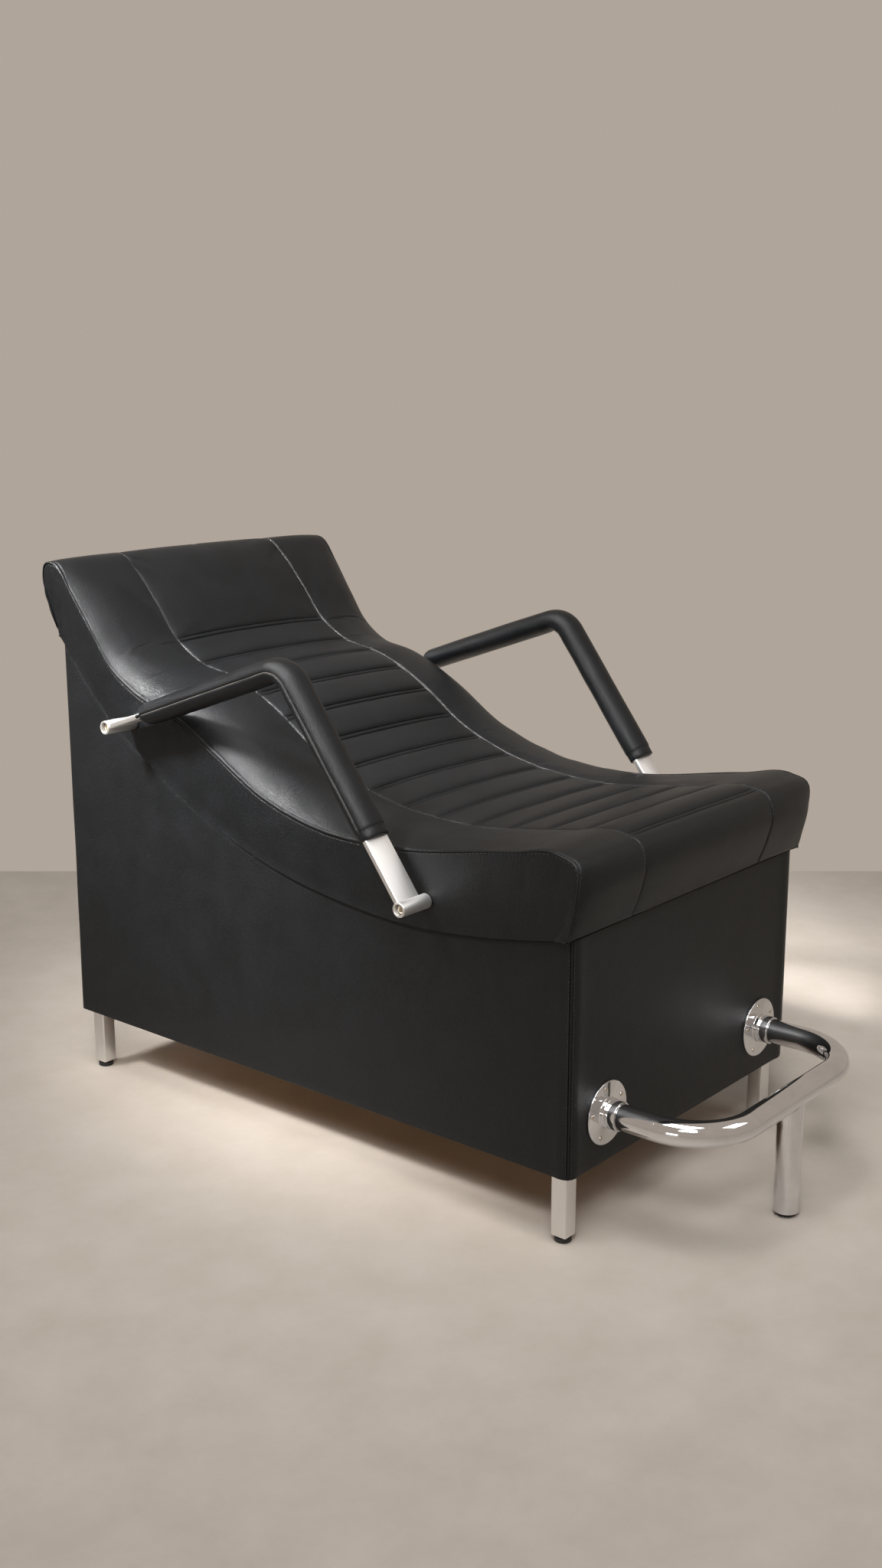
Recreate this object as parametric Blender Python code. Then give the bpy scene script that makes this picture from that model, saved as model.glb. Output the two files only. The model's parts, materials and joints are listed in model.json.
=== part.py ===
"""Shampoo lounge chair: a padded contour seat on a covered box, with two arms and a footrest.

Lengths are in metres. In the side view, u runs along the chair from the box's front face to
its head end and z runs up from the floor. y is u less ORIGIN_U, so the part is centred.
"""

import math

import bmesh
import bpy
import numpy as np
from mathutils import Matrix, Vector

# Clearances
GAP = 0.0003                # pieces that meet
SHADOW_GAP = 0.0015         # cushion's skirt over the box's top edge
RIB_GAP = 0.0006            # flat rib under the curved deck
TOP_GAP = 0.0010            # flat-topped board under the curved seat line
PAD_HOLE_GAP = 0.0012       # arm screw through the cushion's side

# Box
BOX_WIDTH = 0.600
BOX_LENGTH = 1.054
BOX_BOTTOM = 0.107
BOX_CORNER_R = 0.009
COVER = 0.003               # leatherette with its backing
BOARD = 0.015               # side, front, rear and bulkhead plywood
CORNER_POST = 0.040
FLOOR_BOARD = 0.010
FLOOR_RECESS = 0.018        # floor board above the box's lower edge
BULKHEAD_OFF_MIDDLE = 0.003
RIB_FRONT_U = 0.210
RIB_MIDDLE_INSET = 0.314    # from the rear face
RIB_REAR_INSET = 0.129
RIB_WIDTH = 0.030
RIB_DEPTH = 0.045

# Top line of the box: share of the box's length, height
SEAT_LINE = ((0.0, 0.457), (0.13, 0.4325), (0.26, 0.421), (0.40, 0.430), (0.53, 0.455),
             (0.66, 0.503), (0.79, 0.575), (0.90, 0.657), (1.0, 0.770))

# Cushion's upper line at its long seams: place, height, place below it on the seat line,
# fall of the rolled edge to the outer seam, and extra half width. Nose places are from the
# front face, body places are shares of the box's length, head places are from the rear face.
CUSHION_NOSE = ((-0.009, 0.463, 0.005, 0.012, 0.008), (-0.024, 0.503, 0.020, 0.030, 0.008),
                (-0.031, 0.545, 0.036, 0.033, 0.008), (-0.020, 0.571, 0.050, 0.013, 0.008),
                (0.012, 0.581, 0.070, 0.0075, 0.007))
CUSHION_BODY = ((0.095, 0.568, 0.11, 0.0042, 0.003), (0.285, 0.546, 0.285, 0.015, 0.0),
                (0.436, 0.563, 0.446, 0.032, 0.0), (0.541, 0.603, 0.560, 0.044, 0.0),
                (0.645, 0.672, 0.674, 0.054, 0.0), (0.731, 0.712, 0.750, 0.050, 0.0),
                (0.806, 0.728, 0.825, 0.044, 0.0), (0.854, 0.755, 0.880, 0.040, 0.003),
                (0.911, 0.823, 0.930, 0.038, 0.007))
CUSHION_HEAD = ((-0.049, 0.870, -0.044, 0.029, 0.010), (-0.011, 0.896, -0.026, 0.010, 0.011),
                (0.013, 0.892, -0.016, 0.005, 0.012), (0.023, 0.866, -0.010, 0.004, 0.010),
                (0.015, 0.828, -0.006, 0.004, 0.006), (0.002, 0.787, -0.002, 0.004, 0.002))

# Cushion's cross-section
CUSHION_OVERHANG = 0.008    # outer seam beyond the box's face, beside the arms
SIDE_DRAWN_IN = 0.004       # half way down the side
SKIRT_DRAWN_IN = 0.001      # at the lower edge
FULL_SKIRT = 0.060          # height of a side whose lower edge comes in by all of its extra width
LONG_SEAM_X = 0.175
CROWN = 0.006               # middle above the long seams
CROWN_WAY_OUT = 0.55        # share of the way to the long seam of the crown's shoulder
CROWN_SHOULDER = 0.8        # share of the crown there
FULL_CROWN_HEIGHT = 0.060   # less crown where the cushion is thinner or its edge falls less
FULL_CROWN_FALL = 0.024
SEAM_SINK = 0.003
NOSE_PANEL = 0.137          # length of the plain front panel
HEAD_PANEL = 0.330          # length of the plain head panel, over the top
CHANNELS = 14
CHANNEL_PUFF = 0.005
CHANNEL_SINK = 0.004
PUFF_AT_SEAM = 0.3          # share of a channel's puff left beside the long seam
ROLL = ((0.60, 0.035), (0.85, 0.17), (0.97, 0.42), (1.0, 1.0))    # share of the way out, of the fall

# Seat frame inside the cushion
DECK = 0.010
RAIL = 0.018
RAIL_HEIGHT = 0.062
RAIL_INSET = 0.006          # rail in from the box's face
RAIL_FRONT_U = 0.085
RAIL_REAR_INSET = 0.059     # from the rear face

# Legs and their feet
LEG = 0.026
LEG_WALL = 0.002
LEG_INSET = 0.0145
LEG_END_Z = 0.010
LEG_PLATE_T = 0.004
LEG_STUD_R = 0.005
LEG_STUD_LENGTH = 0.045
PLUG_HEIGHT = 0.020
FOOT_STUD_R = 0.004
FOOT_STUD_LENGTH = 0.034
LEG_FOOT_R = 0.0125
LEG_FOOT_HEIGHT = 0.0068
LEG_FOOT_EDGE = 0.0017
LEG_FOOT_NECK_R = 0.007
LEG_FOOT_NECK = 0.0009

# Armrests
ARM_STAND = 0.034           # middle of the bar off the cushion's outer seam
ARM_BAR_WIDTH = 0.046
ARM_BAR = 0.008
ARM_FRONT_U = 0.251
ARM_REAR_INSET = 0.182      # from the rear face
ARM_FIX_RISE = 0.044        # boss above the seat line
ARM_APEX_U = 0.487
ARM_APEX_Z = 0.781
ARM_BEND_R = 0.040
BOSS_R = 0.011
BOSS_LENGTH = 0.060
BOSS_EDGE = 0.0008
BOSS_STAND = 0.0030         # boss off the drawn-in side of the cushion
BOSS_SINK_R = 0.008
BOSS_SINK = 0.010
SLEEVE_WIDTH = 0.050
SLEEVE = 0.032
SLEEVE_REAR = 0.078         # from the rear boss
SLEEVE_FRONT = 0.1085       # from the front boss
SLEEVE_END = 0.010          # rounded length at each end
SLEEVE_DRAWN_IN = 0.005     # less thick at each end
SCREW_R = 0.004
SCREW_HEAD_R = 0.0072
SCREW_HEAD = 0.006
SCREW_HEAD_EDGE = 0.0016
SOCKET_R = 0.0034
SOCKET = 0.004
INSERT_R = 0.006

# Footrest
TUBE_R = 0.019
TUBE_WALL = 0.002
FOOTREST_HEIGHT = 0.182
FOOTREST_REACH = 0.176
FOOTREST_INSET = 0.088      # middle of the flange in from the box's side
FOOTREST_BEND_R = 0.095
FLANGE_R = 0.047
FLANGE = 0.003
COLLAR_R = 0.0225
COLLAR_STEP = 0.0012
COLLAR_BASE = 0.010
COLLAR_LENGTH = 0.026
POST_END_Z = 0.0066
POST_FOOT_R = 0.0165
POST_FOOT_TAPER = 0.0025
POST_FOOT_HEIGHT = 0.0062

# Counts of facets
ROUND = 24
SMALL_ROUND = 16
BEND_STEPS = 9
SLEEVE_STEPS = 6
NOSE_STEPS = 6
HEAD_STEPS = 8
CORNER_STEPS = 4
PAD_HOLE_SIDES = 8
CURVE_SAMPLES = 800
WELD = 1e-6                 # points closer than this are one
SMOOTH_TO = 35              # degrees, sharper edges stay sharp

LEATHER = ("leatherette", (0.020, 0.020, 0.022), 0.45, 0.0)
PLYWOOD = ("plywood", (0.48, 0.33, 0.19), 0.7, 0.0)
TIMBER = ("timber", (0.55, 0.40, 0.24), 0.7, 0.0)
SATIN = ("satin_metal", (0.56, 0.56, 0.57), 0.35, 1.0)
CHROME = ("chrome", (0.78, 0.78, 0.79), 0.06, 1.0)
NICKEL = ("nickel", (0.66, 0.64, 0.60), 0.25, 1.0)
PLASTIC = ("black_plastic", (0.015, 0.015, 0.016), 0.5, 0.0)


# Places that follow from these
HALF = BOX_WIDTH / 2
CUSHION_HALF = HALF + CUSHION_OVERHANG
ARM_X = CUSHION_HALF + ARM_STAND
ARM_REAR_U = BOX_LENGTH - ARM_REAR_INSET
RAIL_REAR_U = BOX_LENGTH - RAIL_REAR_INSET
RAIL_OUT = HALF - RAIL_INSET
RAIL_IN = RAIL_OUT - RAIL
FOOTREST_HALF = HALF - FOOTREST_INSET
BULKHEAD_U = BOX_LENGTH / 2 + BULKHEAD_OFF_MIDDLE
RIB_PLACES = (RIB_FRONT_U, BOX_LENGTH - RIB_MIDDLE_INSET, BOX_LENGTH - RIB_REAR_INSET)


# Curves

def lengths_along(points):
    """Length in side view from the first point to each one."""
    steps = np.linalg.norm(np.diff(points[:, :2], axis=0), axis=1)
    return np.concatenate(([0.0], np.cumsum(steps)))


def smooth_line(points, samples):
    """Points along a smooth curve through the given ones, of any number of values each."""
    pts = np.array(points, dtype=float)
    knots = lengths_along(pts)
    steps = np.diff(knots)
    slopes = np.gradient(pts, knots, axis=0)
    along = np.linspace(0.0, knots[-1], samples)
    span = np.clip(np.searchsorted(knots, along, side="right") - 1, 0, len(steps) - 1)
    width = steps[span][:, None]
    t = ((along - knots[span]) / steps[span])[:, None]
    start = (2 * t**3 - 3 * t**2 + 1) * pts[span] + (t**3 - 2 * t**2 + t) * width * slopes[span]
    end = (3 * t**2 - 2 * t**3) * pts[span + 1] + (t**3 - t**2) * width * slopes[span + 1]
    return start + end


SEAT_CURVE = smooth_line([(share * BOX_LENGTH, z) for share, z in SEAT_LINE], CURVE_SAMPLES)


def seat_line(u):
    """Height of the box's top line, straight on past its ends."""
    last = len(SEAT_CURVE) - 1
    first = min(max(int(np.searchsorted(SEAT_CURVE[:, 0], u)) - 1, 0), last - 1)
    (u0, z0), (u1, z1) = SEAT_CURVE[first], SEAT_CURVE[first + 1]
    return float(z0 + (z1 - z0) * (u - u0) / (u1 - u0))


def lowest_seat_line(u0, u1):
    return min(seat_line(u0), seat_line(u1)) - TOP_GAP


def cushion_stations():
    """Cross-sections of the cushion: foot, direction up, height, fall, half width and pillow."""
    length = BOX_LENGTH
    body = [(u * length, z, below * length, *rest) for u, z, below, *rest in CUSHION_BODY]
    head = [(u + length, z, below + length, *rest) for u, z, below, *rest in CUSHION_HEAD]
    curve = smooth_line(list(CUSHION_NOSE) + body + head, CURVE_SAMPLES)
    along = lengths_along(curve)
    nose_line, head_line = NOSE_PANEL, along[-1] - HEAD_PANEL
    places = [(s, 0.0) for s in np.linspace(0.0, nose_line, NOSE_STEPS, endpoint=False)]
    sewn = np.linspace(nose_line, head_line, 2 * CHANNELS + 1)
    places += [(s, CHANNEL_PUFF if i % 2 else -CHANNEL_SINK) for i, s in enumerate(sewn)]
    places += [(s, 0.0) for s in np.linspace(head_line, along[-1], HEAD_STEPS + 1)[1:]]
    stations = []
    for s, pillow in places:
        u, z, below, fall, extra = (float(np.interp(s, along, column)) for column in curve.T)
        foot = Vector((below, seat_line(below)))
        up = Vector((u, z)) - foot
        stations.append((foot, up.normalized(), up.length, fall, CUSHION_HALF + extra, pillow))
    return stations


STATIONS = cushion_stations()
FRAME_STATIONS = [s for s in STATIONS if RAIL_FRONT_U <= s[0].x <= RAIL_REAR_U]


def cushion_half_section(station):
    """Right half of a cross-section, from the middle of the top round to the underside."""
    foot, _, up, fall, wide, pillow = station
    crown = CROWN * min(1.0, up / FULL_CROWN_HEIGHT, fall / FULL_CROWN_FALL)
    edge = LONG_SEAM_X - SEAM_SINK - CHANNEL_PUFF
    shoulder = (CROWN_WAY_OUT * LONG_SEAM_X, up + CROWN_SHOULDER * crown + pillow)
    section = [(0.0, up + crown + pillow), shoulder,
               (edge, up + PUFF_AT_SEAM * pillow), (LONG_SEAM_X, up - min(SEAM_SINK, fall / 2))]
    reach = wide - LONG_SEAM_X
    section += [(LONG_SEAM_X + out * reach, up - share * fall) for out, share in ROLL]
    drawn = (wide - CUSHION_HALF) * min(1.0, (up - fall) / FULL_SKIRT)
    section += [(wide - drawn / 2 - SIDE_DRAWN_IN, (SHADOW_GAP + up - fall) / 2),
                (wide - drawn - SKIRT_DRAWN_IN, SHADOW_GAP), (RAIL_OUT + GAP, SHADOW_GAP)]
    framed = RAIL_FRONT_U <= foot.x <= RAIL_REAR_U
    pocket = RAIL_HEIGHT + GAP if framed else SHADOW_GAP + GAP
    lower = DECK + 2 * GAP if framed else SHADOW_GAP + GAP / 2
    section += [(RAIL_OUT + GAP, pocket), (RAIL_IN - GAP, pocket), (RAIL_IN - GAP, lower)]
    return section


def place(station, height):
    """Point at a height up a station, in the side view."""
    return station[0] + station[1] * height


def head_end():
    return max(place(s, h).x for s in STATIONS for _, h in cushion_half_section(s))


FRONT_END_U = -FOOTREST_REACH - TUBE_R
ORIGIN_U = (FRONT_END_U + head_end()) / 2


def at(x, u, z):
    return Vector((x, u - ORIGIN_U, z))


# Modelling helpers

def clear_scene():
    for obj in list(bpy.data.objects):
        bpy.data.objects.remove(obj, do_unlink=True)


def material(look):
    name, colour, roughness, metallic = look
    found = bpy.data.materials.get(name)
    if found:
        return found
    made = bpy.data.materials.new(name)
    made.use_nodes = True
    shader = made.node_tree.nodes["Principled BSDF"]
    shader.inputs["Base Color"].default_value = (*colour, 1.0)
    shader.inputs["Roughness"].default_value = roughness
    shader.inputs["Metallic"].default_value = metallic
    return made


def add_node(name, mesh, look, location=(0, 0, 0)):
    obj = bpy.data.objects.new(name, mesh)
    bpy.context.scene.collection.objects.link(obj)
    obj.location = location
    obj.parent = CHAIR
    mesh.materials.clear()
    mesh.materials.append(material(look))
    return obj


def finished(bm, name, sharp=None):
    """Mesh of a bmesh with its faces pointing out, shaded smooth up to an angle if one is given."""
    bmesh.ops.recalc_face_normals(bm, faces=bm.faces)
    mesh = bpy.data.meshes.new(name)
    bm.to_mesh(mesh)
    bm.free()
    if sharp:
        mesh.shade_smooth()
        mesh.set_sharp_from_angle(angle=math.radians(sharp))
    return mesh


def skin(bm, loops):
    """Quads between neighbouring loops of the same number of points."""
    rows = [[bm.verts.new(p) for p in loop] for loop in loops]
    for low, high in zip(rows, rows[1:]):
        for i in range(len(low)):
            j = (i + 1) % len(low)
            bm.faces.new((low[i], low[j], high[j], high[i]))
    return rows


def loft(name, loops, sharp=None):
    """Closed solid through loops of points, with flat ends."""
    bm = bmesh.new()
    rows = skin(bm, loops)
    bm.faces.new(rows[0])
    bm.faces.new(rows[-1])
    return finished(bm, name, sharp)


def pipe(name, outer, inner, sharp=None):
    """Closed solid between outer loops and inner loops of as many points, open right through."""
    bm = bmesh.new()
    outer_rows, inner_rows = skin(bm, outer), skin(bm, inner)
    for end in (0, -1):
        out, back = outer_rows[end], inner_rows[end]
        for i in range(len(out)):
            bm.faces.new((out[i - 1], out[i], back[i], back[i - 1]))
    return finished(bm, name, sharp)


def prism(name, outline, low, high):
    """Outline in x and y, drawn straight up."""
    return loft(name, [[(x, y, z) for x, y in outline] for z in (low, high)])


def side_prism(name, outline, x0, x1, sharp=None):
    """Outline in u and z, drawn across the chair."""
    return loft(name, [[at(x, u, z) for u, z in outline] for x in (x0, x1)], sharp)


def turned(name, profile, sides=ROUND, sharp=SMOOTH_TO):
    """Solid of revolution about z of a closed profile of radius and height."""
    bm = bmesh.new()
    verts = [bm.verts.new((r, 0, z)) for r, z in profile]
    edges = [bm.edges.new((verts[i], verts[i - 1])) for i in range(len(verts))]
    on_axis = [i for i in range(len(profile)) if profile[i][0] == 0 and profile[i - 1][0] == 0]
    for i in on_axis:
        bm.edges.remove(edges[i])
    left = [edge for edge in edges if edge.is_valid]
    bmesh.ops.spin(bm, geom=verts + left, axis=(0, 0, 1), cent=(0, 0, 0), steps=sides,
                   angle=math.tau, use_merge=True)
    bmesh.ops.remove_doubles(bm, verts=bm.verts, dist=WELD)
    return finished(bm, name, sharp)


def moved(mesh, matrix):
    mesh.transform(matrix)
    return mesh


def box(name, size, centre):
    bm = bmesh.new()
    bmesh.ops.create_cube(bm, size=1.0, matrix=Matrix.Translation(centre) @ Matrix.Diagonal((*size, 1.0)))
    return finished(bm, name)


def rod(name, radius, start, end, sides=SMALL_ROUND):
    """Round bar between two points."""
    run = Vector(end) - Vector(start)
    mesh = turned(name, [(0, 0), (radius, 0), (radius, run.length), (0, run.length)], sides)
    turn = run.to_track_quat("Z", "Y").to_matrix().to_4x4()
    return moved(mesh, Matrix.Translation(start) @ turn)


def combined(mesh, cuts=(), joins=()):
    """The mesh with others joined on and then cut away."""
    work = bpy.data.objects.new("work", mesh)
    bpy.context.scene.collection.objects.link(work)
    tools = []
    for operation, others in (("UNION", joins), ("DIFFERENCE", cuts)):
        for other in others:
            tool = bpy.data.objects.new("tool", other)
            bpy.context.scene.collection.objects.link(tool)
            tools.append(tool)
            step = work.modifiers.new(operation, "BOOLEAN")
            step.operation = operation
            step.object = tool
    shape = work.evaluated_get(bpy.context.evaluated_depsgraph_get())
    bm = bmesh.new()
    bm.from_mesh(shape.to_mesh())
    bmesh.ops.remove_doubles(bm, verts=bm.verts, dist=WELD)
    result = finished(bm, mesh.name, SMOOTH_TO)
    for obj in (work, *tools):
        bpy.data.objects.remove(obj, do_unlink=True)
    return result


# Box

BOARD_FACE = COVER + GAP                        # outside of the boards, in from the box's faces
BOARD_BACK = BOARD_FACE + BOARD
POST_BACK = BOARD_FACE + CORNER_POST


def quarter_round(radius, start):
    """Offsets of the points of a rounded corner, from an angle in degrees on by 90."""
    angles = [math.radians(start + 90 * step / CORNER_STEPS) for step in range(CORNER_STEPS + 1)]
    return [radius * Vector((math.cos(a), math.sin(a))) for a in angles]


def rounded_plan(inset, radius, side_places):
    """Plan of the box, in from its faces, with extra points at the given places along its sides."""
    half, front, rear = HALF - inset, inset, BOX_LENGTH - inset
    inner = [u for u in side_places if front + radius < u < rear - radius]
    plan = []
    corners = ((1, front, 270, inner), (1, rear, 0, []), (-1, rear, 90, inner[::-1]), (-1, front, 180, []))
    for side, end, start, places in corners:
        inward = 1 if end == front else -1
        centre = Vector((side * (half - radius), end + inward * radius))
        plan += [centre + offset for offset in quarter_round(radius, start)]
        plan += [Vector((side * half, u)) for u in places]
    return plan


def make_cover():
    places = [s[0].x for s in STATIONS]
    outer = rounded_plan(0.0, BOX_CORNER_R, places)
    inner = rounded_plan(COVER, BOX_CORNER_R - COVER, places)
    walls = []
    for plan in (outer, inner):
        low = [at(p.x, p.y, BOX_BOTTOM) for p in plan]
        walls.append([low, [at(p.x, p.y, seat_line(p.y)) for p in plan]])
    add_node("box_cover", pipe("box_cover", *walls, SMOOTH_TO), LEATHER)


def board_outline(u0, u1):
    """Side board from the box's lower edge to the seat line."""
    places = [u0] + [s[0].x for s in STATIONS if u0 < s[0].x < u1] + [u1]
    return [(u0, BOX_BOTTOM), (u1, BOX_BOTTOM)] + [(u, seat_line(u)) for u in places[::-1]]


def make_side_boards():
    outline = board_outline(POST_BACK + GAP, BOX_LENGTH - POST_BACK - GAP)
    for name, side in (("left", -1), ("right", 1)):
        mesh = side_prism("side_board", outline, side * (HALF - BOARD_BACK), side * (HALF - BOARD_FACE))
        add_node(f"side_board_{name}", mesh, PLYWOOD)


def make_end_boards():
    half = HALF - POST_BACK - GAP
    for name, u0 in (("front", BOARD_FACE), ("rear", BOX_LENGTH - BOARD_BACK)):
        top = lowest_seat_line(u0, u0 + BOARD)
        outline = ((u0, BOX_BOTTOM), (u0 + BOARD, BOX_BOTTOM), (u0 + BOARD, top), (u0, top))
        add_node(f"{name}_board", side_prism(f"{name}_board", outline, -half, half), PLYWOOD)


def floor_height():
    return BOX_BOTTOM + FLOOR_RECESS


def corner_places():
    """Name, side and front or rear of each corner."""
    for end, rear in (("front", False), ("rear", True)):
        for name, side in (("left", -1), ("right", 1)):
            yield f"{end}_{name}", side, rear


def from_end(distance, rear):
    return BOX_LENGTH - distance if rear else distance


def make_corner_posts():
    """Timber posts with the outer corner rounded under the cover and a bore for the leg's stud."""
    radius = BOX_CORNER_R - COVER - GAP
    for name, side, rear in corner_places():
        u_out, u_in = from_end(BOARD_FACE, rear), from_end(POST_BACK, rear)
        inward = -1 if rear else 1
        x_out, x_in = side * (HALF - BOARD_FACE), side * (HALF - POST_BACK)
        centre = Vector((x_out - side * radius, u_out + inward * radius))
        arc = [(centre.x + side * p.x, centre.y - inward * p.y) for p in quarter_round(radius, 0)]
        plan = [(x_in, u_in), (x_out, u_in), *arc, (x_in, u_out)]
        z_out, z_in = seat_line(u_out) - TOP_GAP, seat_line(u_in) - TOP_GAP
        top = [z_out + (z_in - z_out) * (u - u_out) / (u_in - u_out) for _, u in plan]
        loops = [[at(x, u, floor_height()) for x, u in plan],
                 [at(x, u, z) for (x, u), z in zip(plan, top)]]
        base = leg_centre(side, rear, floor_height())
        bore = rod("bore", LEG_STUD_R + GAP, base - Vector((0, 0, GAP)),
                   base + Vector((0, 0, LEG_STUD_LENGTH + 2 * GAP)))
        add_node(f"corner_post_{name}", combined(loft("corner_post", loops), cuts=[bore]), TIMBER)


def make_floor_board():
    half, notch = HALF - BOARD_BACK - GAP, HALF - POST_BACK - GAP
    front, rear = BOARD_BACK + GAP, BOX_LENGTH - BOARD_BACK - GAP
    step = POST_BACK - BOARD_BACK
    quarter = [(notch, front), (notch, front + step), (half, front + step),
               (half, rear - step), (notch, rear - step), (notch, rear)]
    outline = quarter + [(-x, u) for x, u in quarter[::-1]]
    outline = [(x, u - ORIGIN_U) for x, u in outline]
    mesh = prism("floor_board", outline, floor_height(), floor_height() + FLOOR_BOARD)
    add_node("floor_board", mesh, PLYWOOD)


def make_bulkhead():
    half = HALF - BOARD_BACK - GAP
    u0, u1 = BULKHEAD_U - BOARD / 2, BULKHEAD_U + BOARD / 2
    low, top = floor_height() + FLOOR_BOARD + GAP, lowest_seat_line(u0, u1)
    outline = ((u0, low), (u1, low), (u1, top), (u0, top))
    add_node("bulkhead", side_prism("bulkhead", outline, -half, half), PLYWOOD)


def make_ribs():
    """Battens across the box, square to the seat line."""
    half = HALF - BOARD_BACK - GAP
    for number, u in enumerate(RIB_PLACES, 1):
        reach = RIB_WIDTH / 2
        along = Vector((2 * reach, seat_line(u + reach) - seat_line(u - reach))).normalized()
        down = Vector((along.y, -along.x))
        chord = (seat_line(u + reach) + seat_line(u - reach)) / 2
        top = Vector((u, min(seat_line(u), chord))) + down * RIB_GAP
        low = top + down * RIB_DEPTH
        corners = (top - along * reach, top + along * reach, low + along * reach, low - along * reach)
        add_node(f"seat_rib_{number}", side_prism("seat_rib", corners, -half, half), TIMBER)


# Seat

def frame_outline(top):
    """Side view of a curved frame piece, from just above the seat line to a height over it."""
    return [place(s, GAP) for s in FRAME_STATIONS] + [place(s, top) for s in FRAME_STATIONS[::-1]]


def make_deck():
    """Bent plywood between the rails."""
    half = RAIL_IN - GAP
    outline = frame_outline(GAP + DECK)
    add_node("seat_deck", side_prism("seat_deck", outline, -half, half, SMOOTH_TO), PLYWOOD)


def arm_fixings():
    """Name and side-view place of the front and rear boss of an arm."""
    for name, u in (("front", ARM_FRONT_U), ("rear", ARM_REAR_U)):
        yield name, Vector((u, seat_line(u) + ARM_FIX_RISE))


def cross_hole(radius, x0, x1, fix, sides=SMALL_ROUND):
    """Cutter for a hole across the chair at a fixing."""
    return rod("hole", radius, at(x0, *fix), at(x1, *fix), sides)


def make_rails():
    """Curved side rails that carry the arms, with a hole for each threaded insert."""
    outline = frame_outline(RAIL_HEIGHT)
    for name, side in (("left", -1), ("right", 1)):
        mesh = side_prism("seat_rail", outline, side * RAIL_IN, side * RAIL_OUT, SMOOTH_TO)
        holes = [cross_hole(INSERT_R + GAP, side * (RAIL_IN - RAIL), side * (RAIL_OUT + RAIL), fix)
                 for _, fix in arm_fixings()]
        add_node(f"seat_rail_{name}", combined(mesh, cuts=holes), PLYWOOD)


def make_cushion():
    """Contour cushion: crowned top, sewn channels, rolled edges, drawn-in sides and rail pockets."""
    loops = []
    for station in STATIONS:
        half = cushion_half_section(station)
        section = half + [(-x, h) for x, h in half[:0:-1]]
        loops.append([at(x, *place(station, h)) for x, h in section])
    holes = []
    for side in (-1, 1):
        for _, fix in arm_fixings():
            near, far = side * (RAIL_OUT - RAIL / 2), side * (CUSHION_HALF + RAIL)
            holes.append(cross_hole(SCREW_R + PAD_HOLE_GAP, near, far, fix, PAD_HOLE_SIDES))
    add_node("seat_cushion", combined(loft("seat_cushion", loops), cuts=holes), LEATHER)


# Legs

def leg_centre(side, rear, z):
    inset = LEG_INSET + LEG / 2
    return at(side * (HALF - inset), from_end(inset, rear), z)


def leg_mesh():
    """Square tube with a welded top plate and stud, its origin on the floor below it."""
    top = floor_height() - GAP
    plate_low = top - LEG_PLATE_T
    tube = box("leg", (LEG, LEG, plate_low - LEG_END_Z), (0, 0, (plate_low + LEG_END_Z) / 2))
    width = 2 * (POST_BACK - LEG_INSET - LEG / 2 - GAP)
    plate = box("plate", (width, width, LEG_PLATE_T), (0, 0, plate_low + LEG_PLATE_T / 2))
    stud = rod("stud", LEG_STUD_R, (0, 0, plate_low + LEG_PLATE_T / 2), (0, 0, top + LEG_STUD_LENGTH))
    hollow = LEG - 2 * LEG_WALL
    bore_top = plate_low - LEG_WALL
    bore = box("bore", (hollow, hollow, bore_top), (0, 0, bore_top / 2))
    return combined(tube, cuts=[bore], joins=[plate, stud])


def plug_mesh(outline, bottom):
    """End plug with a threaded bore for the foot's stud."""
    plug = prism("plug", outline, bottom, bottom + PLUG_HEIGHT)
    radius = FOOT_STUD_R + GAP
    bore = rod("bore", radius, (0, 0, bottom - PLUG_HEIGHT), (0, 0, bottom + 2 * PLUG_HEIGHT))
    return combined(plug, cuts=[bore])


def leg_foot_mesh():
    """Levelling foot: rounded pad, neck and stud."""
    pad, neck, edge, top = LEG_FOOT_R, LEG_FOOT_NECK_R, LEG_FOOT_EDGE, LEG_FOOT_HEIGHT
    neck_top = top + LEG_FOOT_NECK
    return turned("levelling_foot", [
        (0, 0), (pad - edge, 0), (pad, edge), (pad, top - edge), (pad - edge, top), (neck, top),
        (neck, neck_top), (FOOT_STUD_R, neck_top), (FOOT_STUD_R, FOOT_STUD_LENGTH),
        (0, FOOT_STUD_LENGTH)], SMALL_ROUND)


def make_legs():
    half = LEG / 2 - LEG_WALL - GAP
    square = ((-half, -half), (half, -half), (half, half), (-half, half))
    leg, plug, foot = leg_mesh(), plug_mesh(square, LEG_END_Z), leg_foot_mesh()
    for name, side, rear in corner_places():
        centre = leg_centre(side, rear, 0.0)
        add_node(f"leg_{name}", leg, SATIN, centre)
        add_node(f"leg_plug_{name}", plug, PLASTIC, centre)
        add_node(f"levelling_foot_{name}", foot, PLASTIC, centre)


# Armrests

def arm_path():
    """Middle line of the bar from the rear boss over the bend to the front boss, with directions."""
    fixings = dict(arm_fixings())
    start, end, apex = fixings["rear"], fixings["front"], Vector((ARM_APEX_U, ARM_APEX_Z))
    rise, drop = (apex - start).normalized(), (end - apex).normalized()
    turn = rise.angle(drop)
    tangent = ARM_BEND_R * math.tan(turn / 2)
    inward = (drop - rise).normalized()
    centre = apex + inward * (ARM_BEND_R / math.cos(turn / 2))
    first = apex - rise * tangent - centre
    path = [(start, rise)]
    for step in range(BEND_STEPS + 1):
        spin = Matrix.Rotation(turn * step / BEND_STEPS, 2)
        path.append((centre + spin @ first, spin @ rise))
    path.append((end, drop))
    return path


def path_between(path, from_start, from_end_of_path):
    """The path cut back at both ends, and eased over the sleeve's rounded ends."""
    (start, rise), (end, drop) = path[0], path[-1]
    first, last = start + rise * from_start, end - drop * from_end_of_path
    return ([(first, rise), (first + rise * SLEEVE_END, rise)] + path[1:-1]
            + [(last - drop * SLEEVE_END, drop), (last, drop)])


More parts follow.
